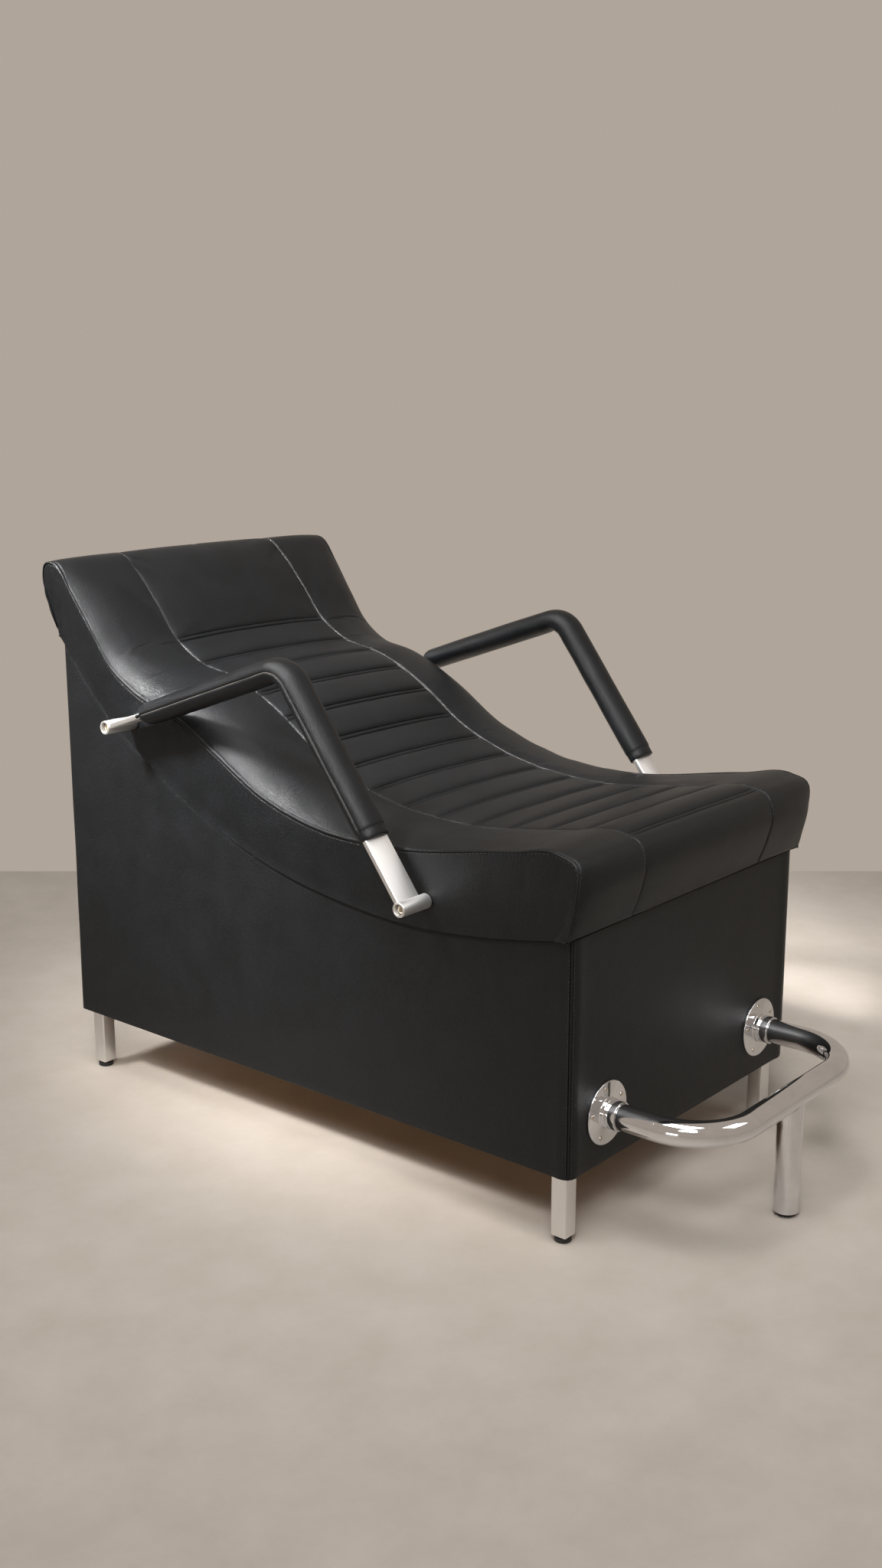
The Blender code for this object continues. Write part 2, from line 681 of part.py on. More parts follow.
def arm_bar_mesh(side):
    """Flat bar bent in side view, welded to a boss at each end."""
    (rear, rise), *bend, (front, drop) = arm_path()
    weld = (BOSS_R + BOSS_SINK_R) / 2
    path = [(rear + rise * weld, rise), *bend, (front - drop * weld, drop)]
    across = [(p, Vector((-d.y, d.x)) * ARM_BAR / 2) for p, d in path]
    outline = [p + n for p, n in across] + [p - n for p, n in across[::-1]]
    inner, outer = ARM_X - ARM_BAR_WIDTH / 2, ARM_X + ARM_BAR_WIDTH / 2
    bar = side_prism("arm_bar", outline, side * inner, side * outer, SMOOTH_TO)
    return combined(bar, joins=[boss_mesh(side, fix) for _, fix in arm_fixings()])


def boss_inner_end():
    return CUSHION_HALF - SIDE_DRAWN_IN + BOSS_STAND


def outward(mesh, side, x, fix):
    """A turned piece laid with its axis pointing out of the chair's side, from x."""
    turn = Matrix.Rotation(side * math.pi / 2, 4, "Y")
    return moved(mesh, Matrix.Translation(at(side * x, *fix)) @ turn)


def boss_mesh(side, fix):
    """Boss with a bore for the screw and a recess for its head."""
    bore, edge = SCREW_R + GAP, BOSS_EDGE
    end, sunk = BOSS_LENGTH, BOSS_LENGTH - BOSS_SINK
    boss = turned("boss", [
        (bore, 0), (BOSS_R - edge, 0), (BOSS_R, edge), (BOSS_R, end - edge), (BOSS_R - edge, end),
        (BOSS_SINK_R, end), (BOSS_SINK_R, sunk), (bore, sunk)])
    return outward(boss, side, boss_inner_end(), fix)


def sleeve_mesh(side):
    """Padded sleeve round the bar, drawn in at both ends."""
    outer, inner = [], []
    path = path_between(arm_path(), SLEEVE_REAR, SLEEVE_FRONT)
    for number, (point, direction) in enumerate(path):
        normal = Vector((-direction.y, direction.x))
        thin = SLEEVE_DRAWN_IN if number in (0, len(path) - 1) else 0.0
        outer.append(section_loop(side, point, normal, SLEEVE_WIDTH, SLEEVE - thin))
        inner.append(section_loop(side, point, normal, ARM_BAR_WIDTH + 2 * GAP, ARM_BAR + 2 * GAP, 0.0))
    return pipe("arm_sleeve", outer, inner, SMOOTH_TO)


def section_loop(side, point, normal, width, depth, round_edge=1.0):
    """Cross-section with flat faces and edges that are round, or square at 0."""
    radius = depth / 2
    bulge = radius * round_edge
    loop = []
    for out, start in ((1, -90), (-1, 90)):
        for step in range(SLEEVE_STEPS + 1):
            angle = math.radians(start + 180 * step / SLEEVE_STEPS)
            offset = point + normal * (radius * math.sin(angle))
            across = out * (width / 2 - bulge) + bulge * math.cos(angle)
            loop.append(at(side * (ARM_X + across), *offset))
    return loop


def arm_screw_mesh(side, fix):
    """Socket-head screw from the boss's recess to the rail's insert."""
    seat = boss_inner_end() + BOSS_LENGTH - BOSS_SINK + GAP
    length = seat - (RAIL_IN + GAP)
    top = length + SCREW_HEAD
    screw = turned("arm_screw", [
        (0, 0), (SCREW_R, 0), (SCREW_R, length), (SCREW_HEAD_R, length),
        (SCREW_HEAD_R, top - SCREW_HEAD_EDGE), (SCREW_HEAD_R - SCREW_HEAD_EDGE, top),
        (SOCKET_R, top), (SOCKET_R, top - SOCKET), (0, top - SOCKET)], SMALL_ROUND)
    return outward(screw, side, RAIL_IN + GAP, fix)


def insert_mesh(side, fix):
    inner = SCREW_R + GAP
    ring = turned("insert", [(inner, 0), (INSERT_R, 0), (INSERT_R, RAIL), (inner, RAIL)], SMALL_ROUND)
    return outward(ring, side, RAIL_IN, fix)


def make_arms():
    for name, side in (("left", -1), ("right", 1)):
        add_node(f"arm_bar_{name}", arm_bar_mesh(side), SATIN)
        add_node(f"arm_sleeve_{name}", sleeve_mesh(side), LEATHER)
        for end, fix in arm_fixings():
            add_node(f"arm_screw_{end}_{name}", arm_screw_mesh(side, fix), NICKEL)
            add_node(f"arm_insert_{end}_{name}", insert_mesh(side, fix), NICKEL)


# Footrest

def footrest_path():
    """Middle line of the U from one flange to the other, in x and u, with directions."""
    reach, radius = -FOOTREST_REACH, FOOTREST_BEND_R
    path = [(Vector((-FOOTREST_HALF, -GAP)), Vector((0, -1)))]
    for side, first in ((-1, math.pi), (1, 1.5 * math.pi)):
        centre = Vector((side * (FOOTREST_HALF - radius), reach + radius))
        for step in range(BEND_STEPS + 1):
            angle = first + 0.5 * math.pi * step / BEND_STEPS
            out = Vector((math.cos(angle), math.sin(angle)))
            path.append((centre + radius * out, Vector((-out.y, out.x))))
    path.append((Vector((FOOTREST_HALF, -GAP)), Vector((0, 1))))
    return path


def ring(point, direction, radius):
    across = Vector((direction.y, -direction.x))
    loop = []
    for step in range(ROUND):
        angle = math.tau * step / ROUND
        flat = point + across * (radius * math.cos(angle))
        loop.append(at(flat.x, flat.y, FOOTREST_HEIGHT + radius * math.sin(angle)))
    return loop


def make_footrest_bar():
    path = footrest_path()
    outer = [ring(p, d, TUBE_R) for p, d in path]
    inner = [ring(p, d, TUBE_R - TUBE_WALL) for p, d in path]
    add_node("footrest_bar", pipe("footrest_bar", outer, inner, SMOOTH_TO), CHROME)


def make_flanges():
    """Turned flange with a stepped collar over the end of the tube."""
    bore, edge = TUBE_R + GAP, FLANGE / 3
    neck = COLLAR_R - COLLAR_STEP
    profile = [(bore, 0), (FLANGE_R, 0), (FLANGE_R, FLANGE - edge), (FLANGE_R - edge, FLANGE),
               (COLLAR_R, FLANGE), (COLLAR_R, COLLAR_BASE - COLLAR_STEP), (neck, COLLAR_BASE),
               (neck, COLLAR_LENGTH - COLLAR_STEP), (neck - COLLAR_STEP / 2, COLLAR_LENGTH),
               (bore, COLLAR_LENGTH)]
    for name, side in (("left", -1), ("right", 1)):
        mesh = turned("footrest_flange", profile, ROUND)
        turn = Matrix.Rotation(math.pi / 2, 4, "X")
        place_at = Matrix.Translation(at(side * FOOTREST_HALF, -GAP, FOOTREST_HEIGHT))
        add_node(f"footrest_flange_{name}", moved(mesh, place_at @ turn), CHROME)


def make_footrest_post():
    """Post with its top coped to the bar, an end plug and an adjustable foot."""
    foot_at = at(0, -FOOTREST_REACH, 0)
    circle = [Matrix.Rotation(math.tau * i / ROUND, 2) @ Vector((1, 0)) for i in range(ROUND)]
    walls = [[[(p.x * r, p.y * r, z) for p in circle] for z in (POST_END_Z, FOOTREST_HEIGHT)]
             for r in (TUBE_R, TUBE_R - TUBE_WALL)]
    tube = pipe("footrest_post", *walls, SMOOTH_TO)
    reach = Vector((2 * TUBE_R, 0, 0))
    middle = Vector((0, 0, FOOTREST_HEIGHT))
    cope = rod("cope", TUBE_R + GAP, middle - reach, middle + reach, 2 * ROUND)
    add_node("footrest_post", combined(tube, cuts=[cope]), CHROME, foot_at)
    plug_r = TUBE_R - TUBE_WALL - GAP
    disc = [(p.x * plug_r, p.y * plug_r) for p in circle]
    add_node("footrest_plug", plug_mesh(disc, POST_END_Z), PLASTIC, foot_at)
    low = POST_FOOT_R - POST_FOOT_TAPER
    foot = turned("footrest_foot", [
        (0, 0), (low, 0), (POST_FOOT_R, POST_FOOT_HEIGHT / 2), (POST_FOOT_R, POST_FOOT_HEIGHT),
        (FOOT_STUD_R, POST_FOOT_HEIGHT), (FOOT_STUD_R, FOOT_STUD_LENGTH), (0, FOOT_STUD_LENGTH)], ROUND)
    add_node("footrest_foot", foot, PLASTIC, foot_at)


clear_scene()
CHAIR = bpy.data.objects.new("shampoo_lounge_chair", None)
bpy.context.scene.collection.objects.link(CHAIR)
make_cover()
make_side_boards()
make_end_boards()
make_corner_posts()
make_floor_board()
make_bulkhead()
make_ribs()
make_deck()
make_rails()
make_cushion()
make_legs()
make_arms()
make_footrest_bar()
make_flanges()
make_footrest_post()
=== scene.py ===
"""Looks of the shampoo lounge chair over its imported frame: leather, thread, metal, light and camera.

Lengths are in metres. In the side view, u runs along the chair from the box's front face to its head end.
"""
import json
import math

import bmesh
import bpy
import numpy as np
from mathutils import Matrix, Vector, noise


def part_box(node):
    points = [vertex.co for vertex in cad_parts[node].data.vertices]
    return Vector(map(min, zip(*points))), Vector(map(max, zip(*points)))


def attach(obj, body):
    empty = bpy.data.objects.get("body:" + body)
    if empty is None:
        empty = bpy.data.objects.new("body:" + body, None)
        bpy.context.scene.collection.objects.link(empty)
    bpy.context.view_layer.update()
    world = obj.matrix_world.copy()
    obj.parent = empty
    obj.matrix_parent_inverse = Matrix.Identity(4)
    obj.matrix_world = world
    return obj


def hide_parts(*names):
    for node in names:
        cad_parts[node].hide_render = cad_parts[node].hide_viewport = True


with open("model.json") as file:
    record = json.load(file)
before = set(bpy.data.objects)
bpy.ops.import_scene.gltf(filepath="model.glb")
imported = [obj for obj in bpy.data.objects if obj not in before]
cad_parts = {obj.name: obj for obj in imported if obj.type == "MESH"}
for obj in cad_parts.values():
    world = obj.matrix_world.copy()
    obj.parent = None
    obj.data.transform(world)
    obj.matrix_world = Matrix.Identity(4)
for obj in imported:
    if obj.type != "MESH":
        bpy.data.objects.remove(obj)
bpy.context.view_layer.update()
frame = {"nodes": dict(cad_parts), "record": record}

# Places taken from the frame
FRONT_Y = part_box("box_cover")[0].y
BOX_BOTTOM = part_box("box_cover")[0].z
BOX_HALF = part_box("box_cover")[1].x
BOX_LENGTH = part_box("box_cover")[1].y - FRONT_Y

# Top line of the box, as in the part's source: share of the box's length, height
SEAT_LINE = ((0.0, 0.457), (0.13, 0.4325), (0.26, 0.421), (0.40, 0.430), (0.53, 0.455),
             (0.66, 0.503), (0.79, 0.575), (0.90, 0.657), (1.0, 0.770))

# Cushion's upper line, as in the part's source: place, height, place below it on the seat line,
# fall of the rolled edge and extra half width. Nose places are from the front face, body places
# are shares of the box's length, head places are from the rear face.
CUSHION_NOSE = ((-0.009, 0.463, 0.005, 0.012, 0.008), (-0.024, 0.503, 0.020, 0.030, 0.008),
                (-0.031, 0.545, 0.036, 0.033, 0.008), (-0.020, 0.571, 0.050, 0.013, 0.008),
                (0.012, 0.581, 0.070, 0.0075, 0.007))
CUSHION_BODY = ((0.095, 0.568, 0.11, 0.0042, 0.003), (0.285, 0.546, 0.285, 0.015, 0.0),
                (0.436, 0.563, 0.446, 0.032, 0.0), (0.541, 0.603, 0.560, 0.044, 0.0),
                (0.645, 0.672, 0.674, 0.054, 0.0), (0.731, 0.712, 0.750, 0.050, 0.0),
                (0.806, 0.728, 0.825, 0.044, 0.0), (0.854, 0.755, 0.880, 0.040, 0.003),
                (0.911, 0.823, 0.930, 0.038, 0.007))
CUSHION_HEAD = ((-0.049, 0.870, -0.044, 0.029, 0.010), (-0.011, 0.896, -0.026, 0.010, 0.011),
                (0.013, 0.892, -0.016, 0.005, 0.012), (0.023, 0.866, -0.010, 0.004, 0.010),
                (0.015, 0.828, -0.006, 0.004, 0.006), (0.002, 0.787, -0.002, 0.004, 0.002))
CUSHION_HALF = BOX_HALF + 0.008
LONG_SEAM_X = 0.175
CROWN = 0.006               # rise of the middle panel between the long seams
CROWN_POWER = 2.6
FULL_CROWN_HEIGHT = 0.060   # a lower section, or one with less fall, has less crown
FULL_CROWN_FALL = 0.024
ROLL_POWER = 2.4            # roundness of the rolled edge, where 2 is a circle's
SHADOW_GAP = 0.0015         # between the cushion and the box
SKIRT_DRAWN_IN = 0.001      # how far in the side panel's lower edge lies
FULL_SKIRT = 0.060          # a side panel this high loses all its extra width at its lower edge
SIDE_DRAWN_IN = 0.002       # how far in the side panel's middle lies
NOSE_PANEL = 0.137          # length without channels at the nose, then at the head
HEAD_PANEL = 0.330
CHANNELS = 14
CUSHION_STEP = 0.006        # between mesh rows away from the channel lines
OUTLINE_POINTS = 120
SHORT_FIT = 0.7             # most of a short outline that closely set points may take

# Sewing
CHANNEL_ROW = 0.0042        # stitch row from the middle of a channel line
CHANNEL_SINK = 0.0026       # fall of a channel line below the panels
CHANNEL_PUFF = 0.0020       # swell of a channel above them
CHANNEL_RISE = 0.0040       # how soon a channel swells beside its stitches
STRIP_RISE = 0.0010         # swell of the strip between two stitch rows
CHANNEL_GROOVE = 0.0022     # how deep each stitch row cuts in
CHANNEL_GROOVE_WIDTH = 0.0011
PUFF_END = 0.010            # how soon a channel swells from the long seam
LONG_SEAM_SINK = 0.0013
LONG_SEAM_WIDTH = 0.0016
LONG_SEAM_ROLL = 0.0012     # the middle panel rolls down to the long seam
LONG_SEAM_ROLL_R = 0.0075   # how soon that roll ends
LONG_SEAM_ROW = 0.0018      # thread of the long seam, outside its valley
EDGE_SEAM_SINK = 0.0026
EDGE_SEAM_WIDTH = 0.0012
EDGE_ROW_TOP = 0.0080       # topstitch rows either side of the outer seam
EDGE_ROW_SIDE = 0.0026
EDGE_BAND = 0.0007          # swell of the band between the outer seam and its row
SIDE_ROUND = 0.0030         # the side panel rolls in towards the outer seam
SIDE_ROUND_R = 0.0090       # how soon that roll ends
ROW_SINK = 0.0012
ROW_WIDTH = 0.0011
EDGE_PUCKER_REACH = 0.022   # how far wrinkles run from the outer seam
TOP_PUCKER = 0.35           # share of them on the cushion's top
LINE_PUCKER = 1.3           # wrinkles of a channel line, in distances of its stitch row
NOSE_TURN = 0.085           # length up the nose at which the outer seam turns along the side
REAR_BARE = 0.120           # the outer seam's rows stop this far before the cushion's rear end
REAR_CALM = 0.030           # seams and swells die out over this length at the rear end
BOSS_DIMPLE = 0.0026        # where an arm's boss presses the side panel in
BOSS_DIMPLE_R = 0.017
UNEVEN = 0.0007             # slow swell of the foam under the leather
UNEVEN_SIZE = 0.085

# Stitches: spacing, length and thickness
LONG_STITCH = (0.0056, 0.0036, 0.0005)
EDGE_STITCH = (0.0070, 0.0028, 0.0008)
CHANNEL_STITCH = (0.0060, 0.0044, 0.0013)

# Closely set mesh points beside channel lines and seams, by their distance, and steps between seams
LINE_NEAR = (0.0, 0.0021, 0.0033, CHANNEL_ROW, 0.0052, 0.0066, 0.0088, 0.0120, 0.0175, 0.0250)
SEAM_NEAR = (0.0, 0.0009, LONG_SEAM_ROW, 0.0030, 0.0046, 0.0075)
EDGE_NEAR = (0.0, 0.0008, 0.0016, 0.0032, 0.0052, 0.0070, EDGE_ROW_TOP, 0.0090, 0.0102, 0.0125)
SIDE_NEAR = (0.0, 0.0008, 0.0016, EDGE_ROW_SIDE, 0.0040, 0.0060, 0.0090)
TOP_STEPS, ROLL_STEPS, SIDE_STEPS = 22, 18, 14

# Padding that pushes the leather out
PADDING_FRAMES = 12
PADDING = {"vertex_group_mass": "held", "quality": 4, "mass": 0.35, "tension_stiffness": 40.0,
           "compression_stiffness": 40.0, "shear_stiffness": 20.0, "bending_stiffness": 2.0,
           "use_pressure": True}
SEAT_PRESSURE = 3.0
SEAT_PUSH = 0.0022          # most that a point may move
SEAT_HELD_ROWS = 3          # mesh rows held still at each end
SKIRT_HELD = 2              # mesh columns held still above the side panel's lower edge
SLEEVE_PRESSURE = 3.0
SLEEVE_PUSH = 0.0008

# Seat frame inside the cushion
RAIL_OUT = BOX_HALF - 0.006
RAIL_IN = RAIL_OUT - 0.018
RAIL_FRONT_U = 0.085
RAIL_REAR_U = BOX_LENGTH - 0.059
RAIL_HEIGHT = 0.062
DECK = 0.010
GAP = 0.0003

# Box leather
BOX_CORNER_R = 0.009
COVER = 0.003
WELT_R = 0.0024             # piping in the front corners
PANEL_EDGE = 0.014          # rolled edge of each panel beside it
CORNER_GROOVE = 0.0029
PANEL_SWELL = 0.0014        # padding that lifts a panel beside its rolled edge
PANEL_SWELL_PLACE = 0.015
PANEL_SWELL_WIDTH = 0.011
CORNER_ROW = 0.0044         # stitch row from the corner's middle
CORNER_ROW_LOW = 0.006      # the row starts above the box's lower edge, and ends below its top line
CORNER_ROW_TOP = 0.004
CORNER_ROW_POINTS = 60
PANEL_HOLLOW = 0.6          # panels lie in between their edges, in swells of the padding
PANEL_CALM = 0.030          # panels lie flat over this length beside their edges
WELT_SINK = 0.0004
RIM = ((0.0004, 0.0005), (0.0014, 0.0))     # rolled rim: place in from the face and from the edge
RIM_START = 0.0016

# Closely set mesh points beside a corner's middle and at a panel's ends, and steps between them
CORNER_NEAR = (0.0, 0.0008, 0.0016, 0.0021, WELT_R, 0.0028, 0.0035, CORNER_ROW, 0.0056)
PANEL_NEAR = (0.0, 0.0015, 0.0032, 0.0055, 0.0085, 0.0130)
PANEL_STEP = 0.010
PANEL_ROWS = 26
FAR = 1.0                   # distance given to places away from the front corners

# Arms
ARM_X = -(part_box("arm_sleeve_left")[0].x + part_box("arm_sleeve_left")[1].x) / 2
ARM_APEX_U = 0.487
ARM_APEX_Z = 0.781
ARM_BEND_R = 0.040
ARM_BEND_ROWS = 15
ARM_BAR_WIDTH = 0.046
ARM_BAR = 0.008
BAR_EDGE = 0.0016
BAR_EDGE_STEPS = 4
BOSS_R = 0.011
BOSS_EDGE = 0.0010
BOSS_SINK_R = 0.008
BOSS_SINK = 0.010
BOSS_BORE_R = 0.0043
SLEEVE_WIDTH = 0.050
SLEEVE = 0.037
SLEEVE_POWER = 2.3
SLEEVE_SIDES = 72
SLEEVE_REAR = 0.090
SLEEVE_FRONT = 0.1085
SLEEVE_COLLAR = 0.010
COLLAR_WIDER = 0.003        # the rear collar over the bar
COLLAR_DEEPER = 0.005
COLLAR_EDGE = 0.001
SLEEVE_NOSE = 0.010         # length over which the padding rises from the collar
SLEEVE_NOSE_START = 0.08    # share of it at the first mesh row
SLEEVE_NOSE_ROWS = 9
SLEEVE_NOSE_POWER = 1.5     # sets those rows closer together at the collar
SLEEVE_BARE = (0.002, 0.003)    # lengths at the collar and the hem without seam and folds
SLEEVE_UNEVEN = 0.6 * UNEVEN
SLEEVE_UNEVEN_FINER = 1.6   # its swells are this much shorter than the seat's
SLEEVE_STEP = 0.004
SLEEVE_HEM = 0.014
HEM_STEP = 0.0012           # how far the hem lies below the padding
HEM_ROW = 0.0014            # how far its stitches do
HEM_PROFILE = ((-0.004, 0.0), (-0.002, 0.0003), (0.0, 0.0016), (0.002, HEM_STEP), (0.008, HEM_STEP),
               (SLEEVE_HEM - 0.0013, HEM_STEP), (SLEEVE_HEM - 0.0004, 0.0018), (SLEEVE_HEM, 0.0035))
SLEEVE_FOLD = 0.0009        # folds inside the sleeve's bend
SLEEVE_FOLDS = 5
FOLD_REACH = 0.012          # how far they reach past the bend
SLEEVE_HELD = (8, 12)       # mesh rows that the collar and the hem hold still
SLEEVE_SEAM_SINK = 0.0024
SLEEVE_SEAM_WIDTH = 0.0011
SLEEVE_SEAM_NEAR = (0.0005, 0.0010, 0.0017, 0.0030)
SCREW_HEAD_R = 0.0072
SCREW_HEAD = 0.006
SCREW_HEAD_SIDE = 0.0028    # height of the head's straight side, below its dome
SCREW_SHANK_R = 0.004
SCREW_SIDES = 48
SOCKET_R = 0.0034
SOCKET = 0.004
SOCKET_MOUTH = 1.12         # the socket widens at its mouth
EASED = 0.0004

# Footrest
FOOTREST_BEND_R = 0.095
FOOTREST_BEND_STEPS = 28
TUBE_WALL = 0.002
TUBE_SIDES = 64
FLANGE = 0.003
FLANGE_EDGE = 0.0011
FLANGE_SIDES = 96
COLLAR_R = 0.0225
COLLAR_STEP = 0.0012
COLLAR_BASE = 0.010
COLLAR_LENGTH = 0.026
FLANGE_SCREWS = 5
FLANGE_SCREW_CIRCLE = 0.0375
FLANGE_SCREW_R = 0.0034
FLANGE_SCREW_DOME = 0.42    # height of a screw's dome, in radii
FLANGE_SCREW_START = 100    # degrees
FLANGE_ROOT_R = 0.0012      # where the plate turns up into its collar
COLLAR_LIP_R = 0.0008

# Legs and feet
LEG = 0.026
LEG_WALL = 0.002
LEG_EDGE = 0.0022
LEG_INNER_EDGE = 0.0006
LEG_END_Z = 0.010
LEG_PLATE = 0.004
LEG_PLATE_EDGE = 0.002
LEG_PLATE_TOP = BOX_BOTTOM + 0.018 - GAP
LEG_STUD_R = 0.005
FOOT_PAD = (0.0125, 0.0068, 0.0)        # radius, height and taper of a leg's pad, then the post's
POST_PAD = (0.0165, 0.0062, 0.0025)
FOOT_EDGE = 0.0011
FOOT_STUD_R = 0.0040

# Camera found from the photograph, its focal length in pixels of a picture 2048 pixels high
PICTURE_HEIGHT = 2048
FOCAL_PIXELS = 2248.2
CAMERA_X = -2.0901
CAMERA_U = -1.2622
CAMERA_Z = 1.1925
CAMERA_YAW = 50.20
CAMERA_PITCH = -13.39

# Light: name, place, target, width, depth, watts, and spread in degrees, which a grid makes small
LAMPS = (
    ("sky_softbox", (-1.3, -0.6, 4.6), (-0.2, -0.7, 0.3), 2.4, 2.0, 152.0, 180),
    ("key_softbox", (-1.75, 1.2, 2.6), (-0.29, 0.55, 0.86), 1.0, 0.7, 12.5, 17),
    ("side_softbox", (-1.9, -1.3, 2.3), (-0.33, -0.16, 0.72), 1.2, 0.9, 5.2, 38),
    ("front_softbox", (0.9, -2.3, 2.6), (0.0, -0.4, 0.3), 1.3, 1.1, 13.0, 180),
    ("low_softbox", (-3.0, -0.85, 0.45), (-0.3, -0.4, 0.35), 0.8, 0.6, 3.4, 180),
)


# Curves

def lengths_along(points):
    """Length of a line up to each of its points, by their first two values."""
    steps = np.linalg.norm(np.diff(points[:, :2], axis=0), axis=1)
    return np.concatenate(([0.0], np.cumsum(steps)))


def smooth_line(points, samples):
    """Points along a smooth curve through the given ones, of any number of values each."""
    pts = np.array(points, dtype=float)
    knots = lengths_along(pts)
    steps = np.diff(knots)
    slopes = np.gradient(pts, knots, axis=0)
    along = np.linspace(0.0, knots[-1], samples)
    span = np.clip(np.searchsorted(knots, along, side="right") - 1, 0, len(steps) - 1)
    width = steps[span][:, None]
    t = ((along - knots[span]) / steps[span])[:, None]
    start = (2 * t**3 - 3 * t**2 + 1) * pts[span] + (t**3 - 2 * t**2 + t) * width * slopes[span]
    end = (3 * t**2 - 2 * t**3) * pts[span + 1] + (t**3 - t**2) * width * slopes[span + 1]
    return start + end


CURVE_POINTS = 800
SEAT_CURVE = smooth_line([(share * BOX_LENGTH, z) for share, z in SEAT_LINE], CURVE_POINTS)


def seat_height(u):
    """Height of the box's top line, straight on past its ends."""
    first = np.clip(np.searchsorted(SEAT_CURVE[:, 0], u) - 1, 0, len(SEAT_CURVE) - 2)
    (u0, z0), (u1, z1) = SEAT_CURVE[first].T, SEAT_CURVE[first + 1].T
    return z0 + (z1 - z0) * (u - u0) / (u1 - u0)


def spread(start, end, step):
    """Evenly spaced values from start up to but not including end."""
    count = max(1, round((end - start) / step))
    return list(np.linspace(start, end, count, endpoint=False))


def valley(distance, width, depth):
    """Rounded groove, at distances from its middle."""
    return -depth * np.exp(-((distance / width) ** 2))


def from_lines(rows, lines):
    """Distance of each row from the nearest of the lines."""
    return np.abs(rows[:, None] - np.array(lines)[None, :]).min(axis=1)


def swell(points):
    """Slow unevenness of padding under leather, from -1 to 1, at each of the points."""
    flat = np.reshape(points, (-1, 3)) / UNEVEN_SIZE
    values = [noise.noise(Vector(p)) for p in flat]
    return np.reshape(values, np.shape(points)[:-1])


# Mesh helpers

def linked(name, data):
    """A new object in the scene."""
    made = bpy.data.objects.new(name, data)
    bpy.context.scene.collection.objects.link(made)
    return made


def new_piece(name, mesh, material):
    """A new object of one material."""
    mesh.materials.clear()
    mesh.materials.append(material)
    return linked(name, mesh)


def grid_faces(row_count, column_count, ring):
    """Corners of a grid's faces: the numbers of their points, and their rows and columns."""
    rows = row_count if ring else row_count - 1
    r, c = (a.ravel() for a in np.meshgrid(np.arange(rows), np.arange(column_count), indexing="ij"))
    faces, places = [], []
    for down, right in ((0, 0), (0, 1), (1, 1), (1, 0)):
        faces.append((r + down) % row_count * column_count + (c + right) % column_count)
        places.append(np.stack((r + down, c + right), axis=1))
    return np.stack(faces, axis=1), np.stack(places, axis=1)


def grid_mesh(name, points, ring=False, sharp=40):
    """Closed mesh through rows of points, with a UV map in metres along the rows and around each.

    A ring joins its last row to its first. Any other mesh has a face over each end."""
    points = np.asarray(points, dtype=float)
    row_count, column_count = points.shape[:2]
    faces, places = grid_faces(row_count, column_count, ring)
    polygons = [tuple(f) for f in faces]
    if not ring:
        last = (row_count - 1) * column_count
        polygons += [tuple(range(column_count)), tuple(range(last, last + column_count))]
    mesh = bpy.data.meshes.new(name)
    mesh.from_pydata(points.reshape(-1, 3).tolist(), [], polygons)
    row_steps = np.linalg.norm(np.diff(points, axis=0, append=points[:1]), axis=2).mean(axis=1)
    column_steps = np.linalg.norm(np.diff(points, axis=1, append=points[:, :1]), axis=2).mean(axis=0)
    along = np.concatenate(([0.0], np.cumsum(row_steps)))
    around = np.concatenate(([0.0], np.cumsum(column_steps)))
    uv = np.zeros((len(mesh.loops), 2))
    uv[:4 * len(faces), 0] = along[places[:, :, 0]].ravel()
    uv[:4 * len(faces), 1] = around[places[:, :, 1]].ravel()
    mesh.uv_layers.new(name="surface").data.foreach_set("uv", uv.ravel())
    return faced_out(mesh, sharp)


def faced_out(mesh, sharp):
    """The mesh with its faces pointing out, shaded smooth up to an angle."""
    shape = bmesh.new()
    shape.from_mesh(mesh)
    bmesh.ops.recalc_face_normals(shape, faces=shape.faces)
    shape.to_mesh(mesh)
    shape.free()
    mesh.shade_smooth()
    mesh.set_sharp_from_angle(angle=math.radians(sharp))
    return mesh


def joined(name, meshes):
    """One mesh of several closed shells."""
    shape = bmesh.new()
    for part in meshes:
        shape.from_mesh(part)
    mesh = bpy.data.meshes.new(name)
    shape.to_mesh(mesh)
    shape.free()
    return mesh


def rounded_steps(radius, start, turn, count):
    """Points on an arc about the origin, angles in degrees."""
    angles = [math.radians(start + turn * i / count) for i in range(count + 1)]
    return [(radius * math.cos(a), radius * math.sin(a)) for a in angles]


def turns(count):
    """Angles evenly round a circle."""
    return [math.tau * i / count for i in range(count)]


def turned(profile, place, sides):
    """Rings of points about the z axis of place, from a profile of radius and height."""
    return [[place @ Vector((r * math.cos(a), r * math.sin(a), z)) for a in turns(sides)] for r, z in profile]


def lathe(name, profile, place, sides=64, ring=False, sharp=40):
    """Turned mesh about the z axis of place, from a profile of radius and height."""
    return grid_mesh(name, turned(profile, place, sides), ring=ring, sharp=sharp)


def dress(piece, body, slot, *nodes):
    """Puts a piece on its body, in place of the nodes that it stands for."""
    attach(piece, body)
    if nodes:
        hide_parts(*nodes)
    return piece


# Materials

LEATHER_IOR = 1.35
WAVE = 0.31                 # a wave texture repeats about this often at a scale of 1


def colour(code):
    """Linear colour from an sRGB hex code."""
    parts = [int(code[i:i + 2], 16) / 255 for i in (1, 3, 5)]
    return [p / 12.92 if p <= 0.04045 else ((p + 0.055) / 1.055) ** 2.4 for p in parts] + [1.0]


def add(tree, kind, inputs=None, **settings):
    """A node with its settings, and its inputs set to values or linked to other nodes' outputs."""
    made = tree.nodes.new(kind)
    for name, value in settings.items():
        setattr(made, name, value)
    for name, value in (inputs or {}).items():
        if isinstance(value, bpy.types.NodeSocket):
            tree.links.new(value, made.inputs[name])
        else:
            made.inputs[name].default_value = value
    return made


